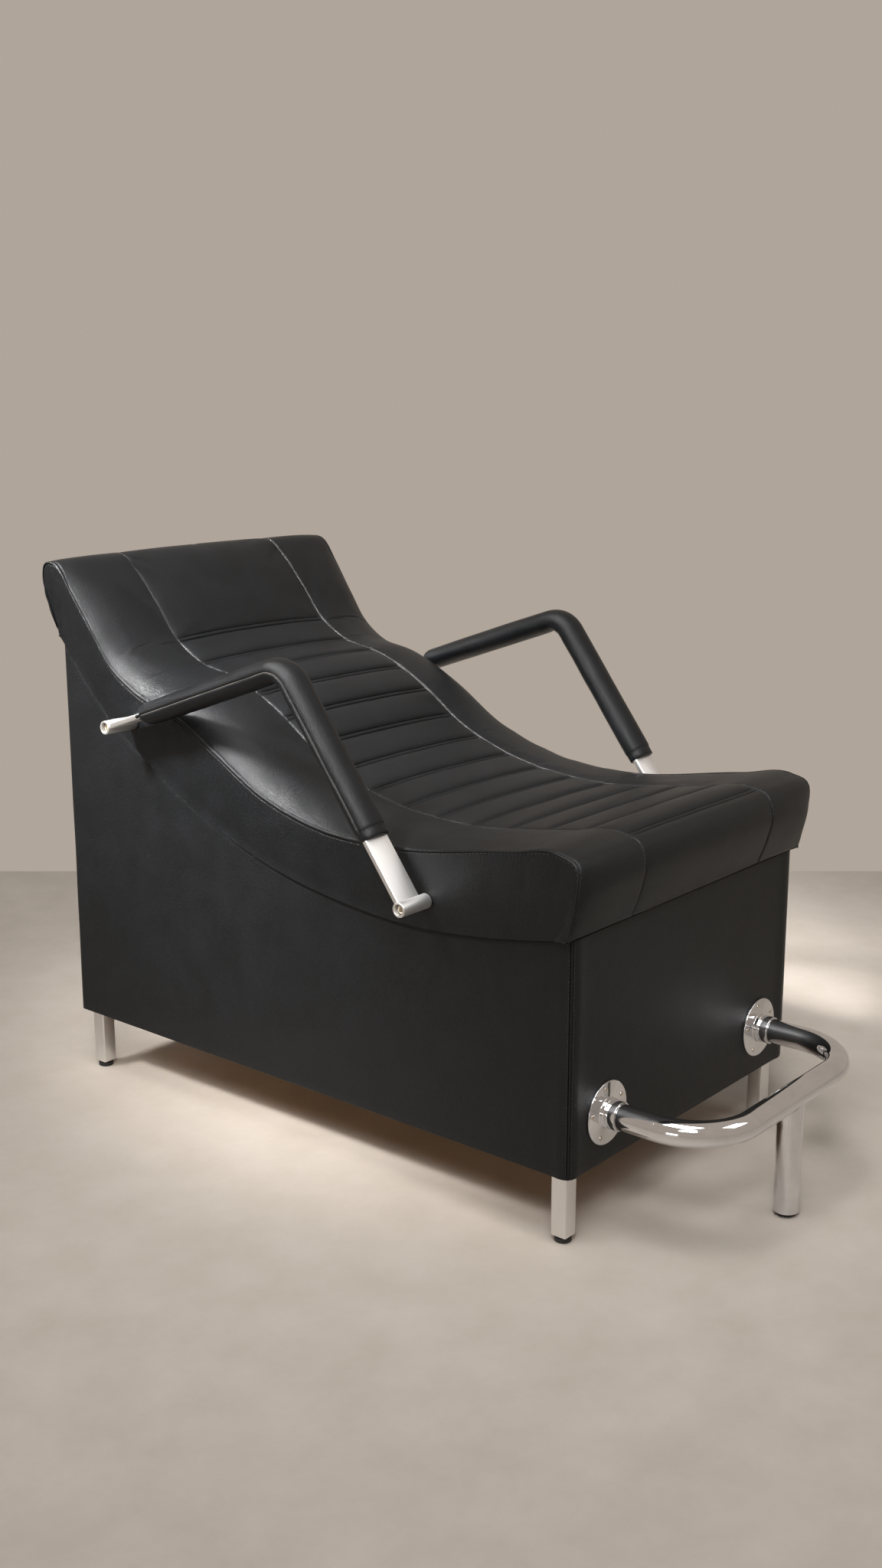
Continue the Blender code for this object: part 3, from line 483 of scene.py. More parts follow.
def blank_material(name, **values):
    """A material with its tree and its shader, whose plain inputs are set."""
    made = bpy.data.materials.new(name)
    made.use_nodes = True
    shader = made.node_tree.nodes["Principled BSDF"]
    for key, value in values.items():
        shader.inputs[key.replace("_", " ")].default_value = value
    return made, made.node_tree, shader


def surfaced(tree, shader, pattern, tones, rough=(), relief=()):
    """Lets a pattern set a shader's two tones and its roughness from low to high, and adds layers of relief.

    Each layer of relief has a strength, a depth and the output that gives its height."""
    ramp = add(tree, "ShaderNodeValToRGB", {"Fac": pattern})
    for stop, code, position in zip(ramp.color_ramp.elements, tones, (0.3, 0.7)):
        stop.color, stop.position = colour(code), position
    tree.links.new(ramp.outputs["Color"], shader.inputs["Base Color"])
    if rough:
        dull = add(tree, "ShaderNodeMapRange", {"Value": pattern, "To Min": rough[0], "To Max": rough[1]})
        tree.links.new(dull.outputs["Result"], shader.inputs["Roughness"])
    last = shader.inputs["Normal"]
    for strength, depth, height in reversed(relief):
        bump = add(tree, "ShaderNodeBump", {"Strength": strength, "Distance": depth, "Height": height})
        tree.links.new(bump.outputs["Normal"], last)
        last = bump.inputs["Normal"]


def leatherette(name, tones, rough):
    """Embossed leatherette: satin black film with a fine pebble grain, hair creases and soft swells.

    The grain of about 0.8 mm is drawn at 1.5 mm, because it wouldn't show at the picture's scale."""
    grain_size, crease_size, patch_size = 0.0015, 0.007, 0.045
    made, tree, shader = blank_material(name, IOR=LEATHER_IOR)
    place = add(tree, "ShaderNodeTexCoord").outputs["Object"]
    patches = add(tree, "ShaderNodeTexNoise", {"Vector": place, "Scale": 1 / patch_size, "Detail": 3.0})
    bend = add(tree, "ShaderNodeTexNoise", {"Vector": place, "Scale": 0.4 / grain_size, "Detail": 1.0})
    crease = add(tree, "ShaderNodeTexNoise", {"Vector": place, "Scale": 1 / crease_size, "Detail": 7.0,
                                              "Roughness": 0.65, "Distortion": 1.2})
    edges = []
    for waver, amount, scale, reach in ((bend, 0.6 * grain_size, 1 / grain_size, 0.35),
                                        (crease, 0.8 * crease_size, 0.55 / crease_size, 0.07)):
        shift = add(tree, "ShaderNodeVectorMath", {0: waver.outputs["Color"], "Scale": amount},
                    operation="SCALE")
        moved = add(tree, "ShaderNodeVectorMath", {0: place, 1: shift.outputs["Vector"]}, operation="ADD")
        cells = add(tree, "ShaderNodeTexVoronoi", {"Vector": moved.outputs["Vector"], "Scale": scale},
                    feature="DISTANCE_TO_EDGE")
        edge = add(tree, "ShaderNodeMapRange", {"Value": cells.outputs["Distance"], "From Max": reach},
                   interpolation_type="SMOOTHSTEP")
        edges.append(edge.outputs["Result"])
    pebble, hair = edges
    surfaced(tree, shader, patches.outputs["Fac"], tones, rough,
             ((0.36, 0.0010, crease.outputs["Fac"]), (0.20, 0.0003, hair),
              (0.8, 0.0012, seam_puckers(tree, place)), (0.45, 0.0004, pebble)))
    return made


def seam_puckers(tree, place):
    """Height of the wrinkles that stitches draw: long ones off an edge, short ones between two rows."""
    fold_width, fold_length, short_fold = 0.0045, 0.030, 0.004
    surface = add(tree, "ShaderNodeUVMap", uv_map="surface").outputs["UV"]
    stretched = add(tree, "ShaderNodeMapping", {"Vector": surface,
                                                "Scale": (1 / fold_width, 1 / fold_length, 1.0)})
    long_folds = add(tree, "ShaderNodeTexNoise", {"Vector": stretched.outputs["Vector"], "Scale": 1.0,
                                                  "Detail": 3.0, "Distortion": 0.8})
    short_folds = add(tree, "ShaderNodeTexNoise", {"Vector": place, "Scale": 1 / short_fold, "Detail": 2.0})
    heights = []
    for folds, name in ((long_folds, "edge_pucker"), (short_folds, "row_pucker")):
        share = add(tree, "ShaderNodeAttribute", attribute_name=name).outputs["Fac"]
        raised = add(tree, "ShaderNodeMath", {0: folds.outputs["Fac"], 1: share}, operation="MULTIPLY")
        heights.append(raised.outputs["Value"])
    return add(tree, "ShaderNodeMath", dict(enumerate(heights)), operation="ADD").outputs["Value"]


def spun_thread(name, tones):
    """Bonded polyester thread: two plies twisted together, dull with a slight lustre."""
    ply = 0.0009
    made, tree, shader = blank_material(name, Roughness=0.75)
    place = add(tree, "ShaderNodeTexCoord").outputs["Object"]
    twist = add(tree, "ShaderNodeTexWave", {"Vector": place, "Scale": WAVE / ply, "Distortion": 1.0},
                bands_direction="DIAGONAL").outputs["Fac"]
    surfaced(tree, shader, twist, tones, relief=((0.4, 0.0002, twist),))
    return made


def brushed_metal(name, tones, rough):
    """Metal finished on a belt: fine scratches along the piece that stretch its highlights."""
    scratch_width, scratch_length = 0.0006, 0.060
    made, tree, shader = blank_material(name, Metallic=1.0, Anisotropic=0.45)
    surface = add(tree, "ShaderNodeUVMap", uv_map="surface").outputs["UV"]
    stretched = add(tree, "ShaderNodeMapping", {"Vector": surface,
                                                "Scale": (1 / scratch_length, 1 / scratch_width, 1.0)})
    lines = add(tree, "ShaderNodeTexNoise", {"Vector": stretched.outputs["Vector"], "Scale": 1.0,
                                             "Detail": 4.0, "Roughness": 0.6}).outputs["Fac"]
    surfaced(tree, shader, lines, tones, rough, ((0.10, 0.0002, lines),))
    return made


def polished_plate(name, tones, rough):
    """Plated steel, polished: near-mirror with faint wipe marks that dull it in patches."""
    mark_size = 0.05
    made, tree, shader = blank_material(name, Metallic=1.0)
    place = add(tree, "ShaderNodeTexCoord").outputs["Object"]
    marks = add(tree, "ShaderNodeTexNoise", {"Vector": place, "Scale": 1 / mark_size, "Detail": 6.0,
                                             "Roughness": 0.7, "Distortion": 0.8})
    surfaced(tree, shader, marks.outputs["Fac"], tones, rough)
    return made


def moulded_plastic(name, tones):
    """Spark-eroded polypropylene: dull black with a fine even grit."""
    grit = 0.0008
    made, tree, shader = blank_material(name, Roughness=0.48, IOR=1.49)
    place = add(tree, "ShaderNodeTexCoord").outputs["Object"]
    speckle = add(tree, "ShaderNodeTexNoise", {"Vector": place, "Scale": 1 / grit, "Detail": 2.0})
    speckle = speckle.outputs["Fac"]
    surfaced(tree, shader, speckle, tones, relief=((0.25, 0.0002, speckle),))
    return made


def sawn_wood(name, tones, ring_width):
    """Raw sawn wood: pale and dark growth rings wavering along the grain, dull."""
    made, tree, shader = blank_material(name, Roughness=0.72)
    place = add(tree, "ShaderNodeTexCoord").outputs["Object"]
    along = add(tree, "ShaderNodeMapping", {"Vector": place, "Scale": (1.0, 0.08, 0.35)})
    rings = add(tree, "ShaderNodeTexWave", {"Vector": along.outputs["Vector"], "Scale": WAVE / ring_width,
                                            "Distortion": 6.0, "Detail": 4.0, "Detail Scale": 1.5})
    rings = rings.outputs["Fac"]
    surfaced(tree, shader, rings, tones, relief=((0.2, 0.0004, rings),))
    return made


BLACK = ("#040608", "#090b0e")
SEAT_LEATHER = leatherette("seat_leatherette", BLACK, (0.36, 0.45))
BOX_LEATHER = leatherette("box_leatherette", BLACK, (0.40, 0.50))
ARM_LEATHER = leatherette("arm_leatherette", BLACK, (0.36, 0.45))
PALE_THREAD = spun_thread("pale_grey_thread", ("#454341", "#605d5b"))
DARK_THREAD = spun_thread("charcoal_thread", ("#131313", "#262626"))
SATIN_STEEL = brushed_metal("satin_steel", ("#d9d8d7", "#e8e7e6"), (0.42, 0.52))
SATIN_ALUMINIUM = brushed_metal("satin_aluminium", ("#dcdbda", "#ebeae9"), (0.30, 0.42))
CHROME = polished_plate("chrome_plate", ("#d4d4d6", "#e2e2e4"), (0.03, 0.09))
NICKEL = polished_plate("nickel_plate", ("#b7ae9f", "#cfc6b8"), (0.14, 0.26))
BLACK_PLASTIC = moulded_plastic("black_polypropylene", ("#0f0f10", "#191919"))
PLYWOOD = sawn_wood("birch_plywood", ("#9c7a52", "#c2a277"), 0.006)
TIMBER = sawn_wood("pine_timber", ("#a8814f", "#cfac7c"), 0.004)


# Cushion

def cushion_rows():
    """Places along the upper line for the rows of the cushion's mesh, and its channel lines."""
    length = lengths_along(upper_line())[-1]
    lines = np.linspace(NOSE_PANEL, length - HEAD_PANEL, CHANNELS + 1)
    rows = spread(0.0, lines[0] - LINE_NEAR[-1], CUSHION_STEP)
    for number, line in enumerate(lines):
        rows += [line - d for d in LINE_NEAR[:0:-1]] + [line + d for d in LINE_NEAR]
        if number < CHANNELS:
            rows.append((line + lines[number + 1]) / 2)
    rows += spread(lines[-1] + LINE_NEAR[-1] + CUSHION_STEP, length, CUSHION_STEP) + [length]
    return np.array(rows), lines


def upper_line():
    """Upper line of the cushion from nose to head, with the other values of its places."""
    body = [(u * BOX_LENGTH, z, below * BOX_LENGTH, *rest) for u, z, below, *rest in CUSHION_BODY]
    head = [(u + BOX_LENGTH, z, below + BOX_LENGTH, *rest) for u, z, below, *rest in CUSHION_HEAD]
    return smooth_line(list(CUSHION_NOSE) + body + head, CURVE_POINTS)


def half_section(up, fall, wide, framed):
    """Fine outline of half a cross-section: points out and up of its top, rolled edge, side and underside."""
    crown = CROWN * min(1.0, up / FULL_CROWN_HEIGHT, fall / FULL_CROWN_FALL)
    share = np.linspace(0.0, 1.0, OUTLINE_POINTS)
    top = np.stack((share * LONG_SEAM_X, up + crown * (1 - share**CROWN_POWER)), axis=1)
    out = np.sin(share * math.pi / 2)
    roll = 1 - (1 - out**ROLL_POWER) ** (1 / ROLL_POWER)
    rolled = np.stack((LONG_SEAM_X + out * (wide - LONG_SEAM_X), up - fall * roll), axis=1)
    extra = (wide - CUSHION_HALF) * min(1.0, (up - fall) / FULL_SKIRT)
    drawn = (SKIRT_DRAWN_IN + extra) * share + SIDE_DRAWN_IN * 4 * share * (1 - share)
    side = np.stack((wide - drawn, (up - fall) * (1 - share) + SHADOW_GAP * share), axis=1)
    pocket = RAIL_HEIGHT + GAP if framed else SHADOW_GAP + GAP
    lower = DECK + 2 * GAP if framed else SHADOW_GAP + GAP / 2
    under = [(RAIL_OUT + GAP, SHADOW_GAP), (RAIL_OUT + GAP, pocket), (RAIL_IN - GAP, pocket),
             (RAIL_IN - GAP, lower)]
    return top, rolled, side, under


def picked(outline, from_start, from_end, step_count):
    """Points of an outline at set distances from its start and end, and evenly between them.

    Where the outline is short, the distances shrink to fit it."""
    along = lengths_along(outline)
    fit = min(1.0, SHORT_FIT * along[-1] / (from_start[-1] + from_end[-1]))
    first, last = fit * np.array(from_start), along[-1] - fit * np.array(from_end)[::-1]
    places = np.concatenate((first, np.linspace(first[-1], last[0], step_count + 1)[1:-1], last))
    return np.stack([np.interp(places, along, outline[:, k]) for k in (0, 1)], axis=1), places, along[-1]


FIXINGS = {end: (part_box(f"arm_screw_{end}_left")[0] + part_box(f"arm_screw_{end}_left")[1]) / 2
           for end in ("front", "rear")}


def cushion_section(station, beside_line):
    """Half a row of the cushion: points out and up, with how far each is pushed out along its normal."""
    up, fall, wide, framed = station
    top, rolled, side, under = half_section(up, fall, wide, framed)
    points, depth = [], []
    got, place, length = picked(top, (0.0,), SEAM_NEAR, TOP_STEPS)
    from_seam = length - place
    points.append(got)
    depth.append(beside_line * (1 - np.exp(-from_seam / PUFF_END))
                 + valley(from_seam, LONG_SEAM_WIDTH, LONG_SEAM_SINK)
                 - LONG_SEAM_ROLL * np.exp(-from_seam / LONG_SEAM_ROLL_R))
    got, place, length = picked(rolled, SEAM_NEAR, EDGE_NEAR, ROLL_STEPS)
    points.append(got[1:])
    edge = length - place[1:]
    band = EDGE_BAND * np.sin(math.pi * np.clip(edge / EDGE_ROW_TOP, 0.0, 1.0))
    depth.append(valley(place[1:], LONG_SEAM_WIDTH, LONG_SEAM_SINK)
                 + valley(edge, EDGE_SEAM_WIDTH, EDGE_SEAM_SINK)
                 + valley(edge - EDGE_ROW_TOP, ROW_WIDTH, ROW_SINK) + band)
    got, place, length = picked(side, SIDE_NEAR, (0.0,), SIDE_STEPS)
    points.append(got[1:])
    depth.append(valley(place[1:], EDGE_SEAM_WIDTH, EDGE_SEAM_SINK - SIDE_ROUND / 2)
                 - SIDE_ROUND * np.exp(-place[1:] / SIDE_ROUND_R))
    points.append(np.array(under))
    depth.append(np.zeros(len(under)))
    return np.concatenate(points), np.concatenate(depth)


TOP_COUNT = 1 + (TOP_STEPS - 1) + len(SEAM_NEAR)
SEAM_COLUMN = TOP_COUNT - 1
LONG_ROW_COLUMN = SEAM_COLUMN + SEAM_NEAR.index(LONG_SEAM_ROW)
EDGE_COLUMN = SEAM_COLUMN + len(SEAM_NEAR) + (ROLL_STEPS - 1) + len(EDGE_NEAR) - 1
TOP_ROW_COLUMN = EDGE_COLUMN - EDGE_NEAR.index(EDGE_ROW_TOP)
SIDE_ROW_COLUMN = EDGE_COLUMN + SIDE_NEAR.index(EDGE_ROW_SIDE)
SIDE_END_COLUMN = EDGE_COLUMN + len(SIDE_NEAR) - 1 + (SIDE_STEPS - 1) + 1


def channel_swell(rows, lines):
    """Swell of the sewn channels at each row, down in the stitched lines and up between them."""
    distance = from_lines(rows, lines)
    rise = 1 - np.exp(-np.maximum(distance - CHANNEL_ROW, 0.0) / CHANNEL_RISE)
    strip = STRIP_RISE * (1 - np.minimum(distance / CHANNEL_ROW, 1.0) ** 2)
    groove = valley(distance - CHANNEL_ROW, CHANNEL_GROOVE_WIDTH, CHANNEL_GROOVE)
    inside = (rows > lines[0]) & (rows < lines[-1])
    puff = np.where(inside, CHANNEL_PUFF, 0.0)
    return -CHANNEL_SINK + strip + groove + (CHANNEL_SINK + puff) * rise


def cushion_points():
    """Rows of points right round the cushion, their normals, the numbers of its channel lines' rows, and
    the place of each row along the upper line."""
    rows, lines = cushion_rows()
    curve = upper_line()
    along = lengths_along(curve)
    u, z, below, fall, extra = (np.interp(rows, along, column) for column in curve.T)
    swells = channel_swell(rows, lines)
    foot = np.stack((below, seat_height(below)), axis=1)
    rise = np.stack((u, z), axis=1) - foot
    height = np.linalg.norm(rise, axis=1)
    rise /= height[:, None]
    halves, depths = [], []
    for i in range(len(rows)):
        framed = RAIL_FRONT_U <= below[i] <= RAIL_REAR_U
        section, depth = cushion_section((height[i], fall[i], CUSHION_HALF + extra[i], framed), swells[i])
        side_view = foot[i] + section[:, 1:] * rise[i]
        halves.append(np.column_stack((section[:, 0], side_view[:, 0] + FRONT_Y, side_view[:, 1])))
        depths.append(depth)
    half, depth = np.array(halves), np.array(depths)
    mirrored = half[:, :0:-1] * (-1, 1, 1)
    points = np.concatenate((half, mirrored), axis=1)
    depth = np.concatenate((depth, depth[:, :0:-1]), axis=1)
    normals = surface_normals(points)
    shell = np.zeros(points.shape[1], dtype=bool)
    shell[:SIDE_END_COLUMN] = True
    shell[-SIDE_END_COLUMN + 1:] = True
    depth = np.where(shell, depth + UNEVEN * swell(points) + boss_dimples(points), 0.0)
    depth *= np.clip((rows[-1] - rows) / REAR_CALM, 0.0, 1.0)[:, None]
    line_rows = [int(np.argmin(np.abs(rows - line))) for line in lines]
    return points + normals * depth[:, :, None], normals, line_rows, rows


def surface_normals(points):
    """Outward unit normals of a closed grid of points."""
    along = np.gradient(points, axis=0)
    around = np.roll(points, -1, axis=1) - np.roll(points, 1, axis=1)
    normals = np.cross(around, along)
    normals /= np.maximum(np.linalg.norm(normals, axis=2, keepdims=True), 1e-12)
    middle = points.shape[0] // 2
    return normals if normals[middle, 0, 2] > 0 else -normals


def boss_dimples(points):
    """How far the arms' bosses press the cushion's sides in."""
    pressed = np.zeros(points.shape[:2])
    for place in FIXINGS.values():
        distance = np.hypot(points[:, :, 1] - place.y, points[:, :, 2] - place.z)
        beside = np.abs(points[:, :, 0]) > LONG_SEAM_X
        pressed += np.where(beside, valley(distance, BOSS_DIMPLE_R, BOSS_DIMPLE), 0.0)
    return pressed


def half_columns(points):
    """Number of each column of the cushion's grid, counted from its middle on either side."""
    numbers = np.arange(points.shape[1])
    return np.minimum(numbers, points.shape[1] - numbers)


def mark_puckers(mesh, points, rows, lines):
    """Marks where stitches wrinkle the leather: off the outer seam, and between a channel line's rows."""
    column = half_columns(points)
    folded = np.concatenate((np.abs(points[:, :, :1]), points[:, :, 1:]), axis=2)
    from_edge = np.linalg.norm(folded - points[:, EDGE_COLUMN][:, None], axis=2)
    on_side = (column > EDGE_COLUMN) & (column < SIDE_END_COLUMN)
    off_edge = np.exp(-from_edge / EDGE_PUCKER_REACH) * np.where(on_side, 1.0, TOP_PUCKER)[None, :]
    near_line = from_lines(rows, lines) < CHANNEL_ROW * LINE_PUCKER
    between_rows = near_line[:, None] * np.where(column < SEAM_COLUMN, 1.0, 0.0)[None, :]
    for name, values in (("edge_pucker", off_edge), ("row_pucker", between_rows)):
        mesh.attributes.new(name, "FLOAT", "POINT").data.foreach_set("value", values.ravel())


def held_points(points, rows, lines):
    """Which of the cushion's points its seams, stitches, boards and ends hold still."""
    column = half_columns(points)
    sewn = np.isin(column, (SEAM_COLUMN, LONG_ROW_COLUMN, EDGE_COLUMN, TOP_ROW_COLUMN, SIDE_ROW_COLUMN))
    held = np.tile(sewn | (column >= SIDE_END_COLUMN - SKIRT_HELD), (len(rows), 1))
    in_line = from_lines(rows, lines) <= CHANNEL_ROW * 1.01     # with room for rounding
    held[np.ix_(in_line, column <= SEAM_COLUMN)] = True
    held[:SEAT_HELD_ROWS] = held[-SEAT_HELD_ROWS:] = True
    return held.ravel()


def blown_out(piece, held, pressure, limit):
    """Lets the padding push the leather out between its held points, each point by no more than a limit."""
    mesh = piece.data
    start = np.empty(len(mesh.vertices) * 3)
    mesh.vertices.foreach_get("co", start)
    group = piece.vertex_groups.new(name="held")
    group.add(np.flatnonzero(held).tolist(), 1.0, "REPLACE")
    cloth = piece.modifiers.new("padding", "CLOTH")
    for name, value in {**PADDING, "uniform_pressure_force": pressure}.items():
        setattr(cloth.settings, name, value)
    cloth.settings.effector_weights.gravity = 0.0
    cloth.point_cache.frame_start, cloth.point_cache.frame_end = 1, PADDING_FRAMES
    scene = bpy.context.scene
    for number in range(1, PADDING_FRAMES + 1):
        scene.frame_set(number)
    depsgraph = bpy.context.evaluated_depsgraph_get()
    pushed = np.empty_like(start)
    piece.evaluated_get(depsgraph).data.vertices.foreach_get("co", pushed)
    piece.modifiers.remove(cloth)
    piece.vertex_groups.remove(group)
    scene.frame_set(1)
    move = (pushed - start).reshape(-1, 3)
    size = np.linalg.norm(move, axis=1, keepdims=True)
    move *= np.minimum(1.0, limit / np.maximum(size, 1e-9))
    mesh.vertices.foreach_set("co", start + move.ravel())
    mesh.update()


def make_cushion():
    """Leather of the seat, blown out over its padding. Its grid is kept for the stitches."""
    points, normals, line_rows, rows = cushion_points()
    mesh = grid_mesh("cushion_leather", points, sharp=60)
    lines = [rows[i] for i in line_rows]
    mark_puckers(mesh, points, rows, lines)
    cushion = new_piece("cushion_leather", mesh, SEAT_LEATHER)
    blown_out(cushion, held_points(points, rows, lines), SEAT_PRESSURE, SEAT_PUSH)
    dress(cushion, "chair", "seat_leather", "seat_cushion")
    return points, normals, line_rows, rows


# Box

def box_plan():
    """Plan of the box, its outward directions, and distances from the nearest front corner's middle."""
    radius, half, rear = BOX_CORNER_R, BOX_HALF, BOX_LENGTH
    quarter = radius * math.pi / 4
    arc = [-d for d in CORNER_NEAR[:0:-1]] + list(CORNER_NEAR)
    plan, facing, corner = [], [], []
    for side, end, turn in ((1, 0.0, -45), (1, rear, 45), (-1, rear, 135), (-1, 0.0, 225)):
        inward = 1 if end == 0.0 else -1
        centre = np.array((side * (half - radius), end + inward * radius))
        for a in arc:
            angle = math.radians(turn) + a / radius
            out = np.array((math.cos(angle), math.sin(angle)))
            plan.append(centre + radius * out)
            facing.append(out)
            corner.append(abs(a) if end == 0.0 else FAR)
        for place, out, gap in box_straight(side, end, quarter):
            plan.append(place)
            facing.append(out)
            corner.append(gap)
    return np.array(plan), np.array(facing), np.array(corner)


def box_straight(side, end, quarter):
    """Points along the face that follows a corner, going round the box."""
    radius, half, rear = BOX_CORNER_R, BOX_HALF, BOX_LENGTH
    along_side = (side, end) in ((1, 0.0), (-1, rear))
    length = (rear if along_side else 2 * half) - 2 * radius
    middle = spread(PANEL_NEAR[-1], length - PANEL_NEAR[-1], PANEL_STEP)[1:]
    for d in [*PANEL_NEAR, *middle, *(length - d for d in PANEL_NEAR[::-1])]:
        if along_side:
            u = radius + d if side == 1 else rear - radius - d
            gap = quarter + (d if side == 1 else length - d)
            yield np.array((side * half, u)), np.array((side, 0.0)), gap
        else:
            x = half - radius - d if side == 1 else -half + radius + d
            gap = quarter + min(d, length - d) if end == 0.0 else FAR
            yield np.array((x, end)), np.array((0.0, -1.0 if end == 0.0 else 1.0)), gap


def corner_depth(distance):
    """Shape of a front corner: piping in a groove between the rolled edges of two panels."""
    piping = np.sqrt(np.maximum(WELT_R**2 - distance**2, 0.0)) - WELT_R
    rolled = np.clip((distance - WELT_R) / PANEL_EDGE, 0.0, 1.0)
    edge = -CORNER_GROOVE * (1 - np.sqrt(1 - (1 - rolled) ** 2))
    edge = edge - valley(distance - PANEL_SWELL_PLACE, PANEL_SWELL_WIDTH, PANEL_SWELL) * np.sqrt(rolled)
    return np.where(distance <= WELT_R, np.maximum(piping - WELT_SINK, -CORNER_GROOVE), edge)


def box_surface(plan, facing, corner, share):
    """Outer points of the box's leather at a share of its height."""
    top = seat_height(plan[:, 1])
    height = BOX_BOTTOM + share * (top - BOX_BOTTOM)
    flat = plan + facing * corner_depth(corner)[:, None]
    return np.column_stack((flat[:, 0], flat[:, 1] + FRONT_Y, height))


def make_box():
    """Leather of the box: outer skin, rolled rims at top and bottom, and its back against the boards."""
    plan, facing, corner = box_plan()
    out = np.column_stack((facing, np.zeros(len(facing))))
    rows = []
    for share in np.linspace(0.0, 1.0, PANEL_ROWS):
        outer = box_surface(plan, facing, corner, share)
        free = np.clip((corner - PANEL_EDGE) / PANEL_CALM, 0.0, 1.0) * math.sin(math.pi * share)
        rows.append(outer + out * (UNEVEN * (swell(outer) - PANEL_HOLLOW) * free)[:, None])
    lift = np.array((0.0, 0.0, 1.0))
    rows[0], rows[-1] = rows[0] + RIM_START * lift, rows[-1] - RIM_START * lift
    bottom, top = box_surface(plan, facing, corner, 0.0), box_surface(plan, facing, corner, 1.0)
    rolled_low = [bottom - out * d + lift * h for d, h in RIM[::-1]]
    rolled_top = [top - out * d - lift * h for d, h in RIM]
    back = np.column_stack((plan, np.zeros(len(plan)))) + (0.0, FRONT_Y, 0.0) - out * COVER
    inner = [np.column_stack((back[:, :2], level[:, 2])) for level in (top, bottom)]
    mesh = grid_mesh("box_leather", rolled_low + rows + rolled_top + inner, ring=True, sharp=50)
    box = new_piece("box_leather", mesh, BOX_LEATHER)
    dress(box, "chair", "box_leather", "box_cover")
    return plan, facing, corner


# Arms

def arm_course():
    """Function from a length along an arm's middle line to its side-view place and direction.

    With it come the whole length, the length before the bend, and the bend's."""
    rear, front = (Vector((FIXINGS[end].y, FIXINGS[end].z)) for end in ("rear", "front"))
    apex = Vector((FRONT_Y + ARM_APEX_U, ARM_APEX_Z))
    rise, drop = (apex - rear).normalized(), (front - apex).normalized()
    turn = rise.angle(drop)
    tangent = ARM_BEND_R * math.tan(turn / 2)
    first, bend = (apex - rear).length - tangent, ARM_BEND_R * turn
    total = first + bend + (front - apex).length - tangent
    centre = apex + (drop - rise).normalized() * (ARM_BEND_R / math.cos(turn / 2))

    def at(distance):
        if distance <= first:
            return rear + rise * distance, rise
        if distance >= first + bend:
            return front - drop * (total - distance), drop
        spin = Matrix.Rotation((distance - first) / ARM_BEND_R, 2)
        return centre + spin @ (rear + rise * first - centre), spin @ rise

    return at, total, first, bend


def arm_ring(at, distance, side, section):
    """Points round the arm at a length along it, from places across and up."""
    point, direction = at(distance)
    up = Vector((direction.y, -direction.x))
    ring = []
    for across, height in section:
        place = point + up * height
        ring.append((side * (ARM_X + across), place.x, place.y))
    return ring


def sleeve_angles():
    """Directions round the sleeve, close together beside the seam on its outer side."""
    near = [math.asin((2 * d / SLEEVE) ** (SLEEVE_POWER / 2)) for d in SLEEVE_SEAM_NEAR]
    even = [math.tau * i / SLEEVE_SIDES for i in range(2, SLEEVE_SIDES - 1)]
    return np.array([0.0, *near, *even, *(math.tau - a for a in near[::-1])])


def sleeve_section(width, depth):
    """Rounded outline of the padding round the bar: places across and up."""
    power = 2 / SLEEVE_POWER
    across, up = np.cos(sleeve_angles()), np.sin(sleeve_angles())
    return np.column_stack((np.sign(across) * np.abs(across) ** power * width / 2,
                            np.sign(up) * np.abs(up) ** power * depth / 2))


def bar_section(width, depth, edge):
    """Rectangle with rounded edges."""
    section = []
    for sx, sy, start in ((1, 1, 0), (-1, 1, 90), (-1, -1, 180), (1, -1, 270)):
        for x, y in rounded_steps(edge, start, 90, BAR_EDGE_STEPS):
            section.append((sx * (width / 2 - edge) + x, sy * (depth / 2 - edge) + y))
    return section


def sleeve_stations(total):
    """Length along the arm, and the sleeve's width and depth there, from its rear collar to its front hem."""
    bar = np.array((ARM_BAR_WIDTH, ARM_BAR)) + 2 * GAP
    collar = np.array((ARM_BAR_WIDTH + COLLAR_WIDER, ARM_BAR + COLLAR_DEEPER))
    full = np.array((SLEEVE_WIDTH, SLEEVE))
    start, end = SLEEVE_REAR, total - SLEEVE_FRONT
    first, hem = start - SLEEVE_COLLAR, end - SLEEVE_HEM
    stations = [(first, bar), (first, collar - COLLAR_EDGE), (first + COLLAR_EDGE, collar),
                (start - COLLAR_EDGE, collar), (start, collar - COLLAR_EDGE)]
    for share in np.linspace(SLEEVE_NOSE_START, 1.0, SLEEVE_NOSE_ROWS):
        grown = collar + math.sqrt(1 - (1 - share) ** 2) * (full - collar)
        stations.append((start + SLEEVE_NOSE * share**SLEEVE_NOSE_POWER, grown))
    stations += [(d, full) for d in spread(start + SLEEVE_NOSE, hem + HEM_PROFILE[0][0], SLEEVE_STEP)[1:]]
    stations += [(hem + past, full - 2 * step) for past, step in HEM_PROFILE]
    stations.append((end, bar))
    return stations, hem


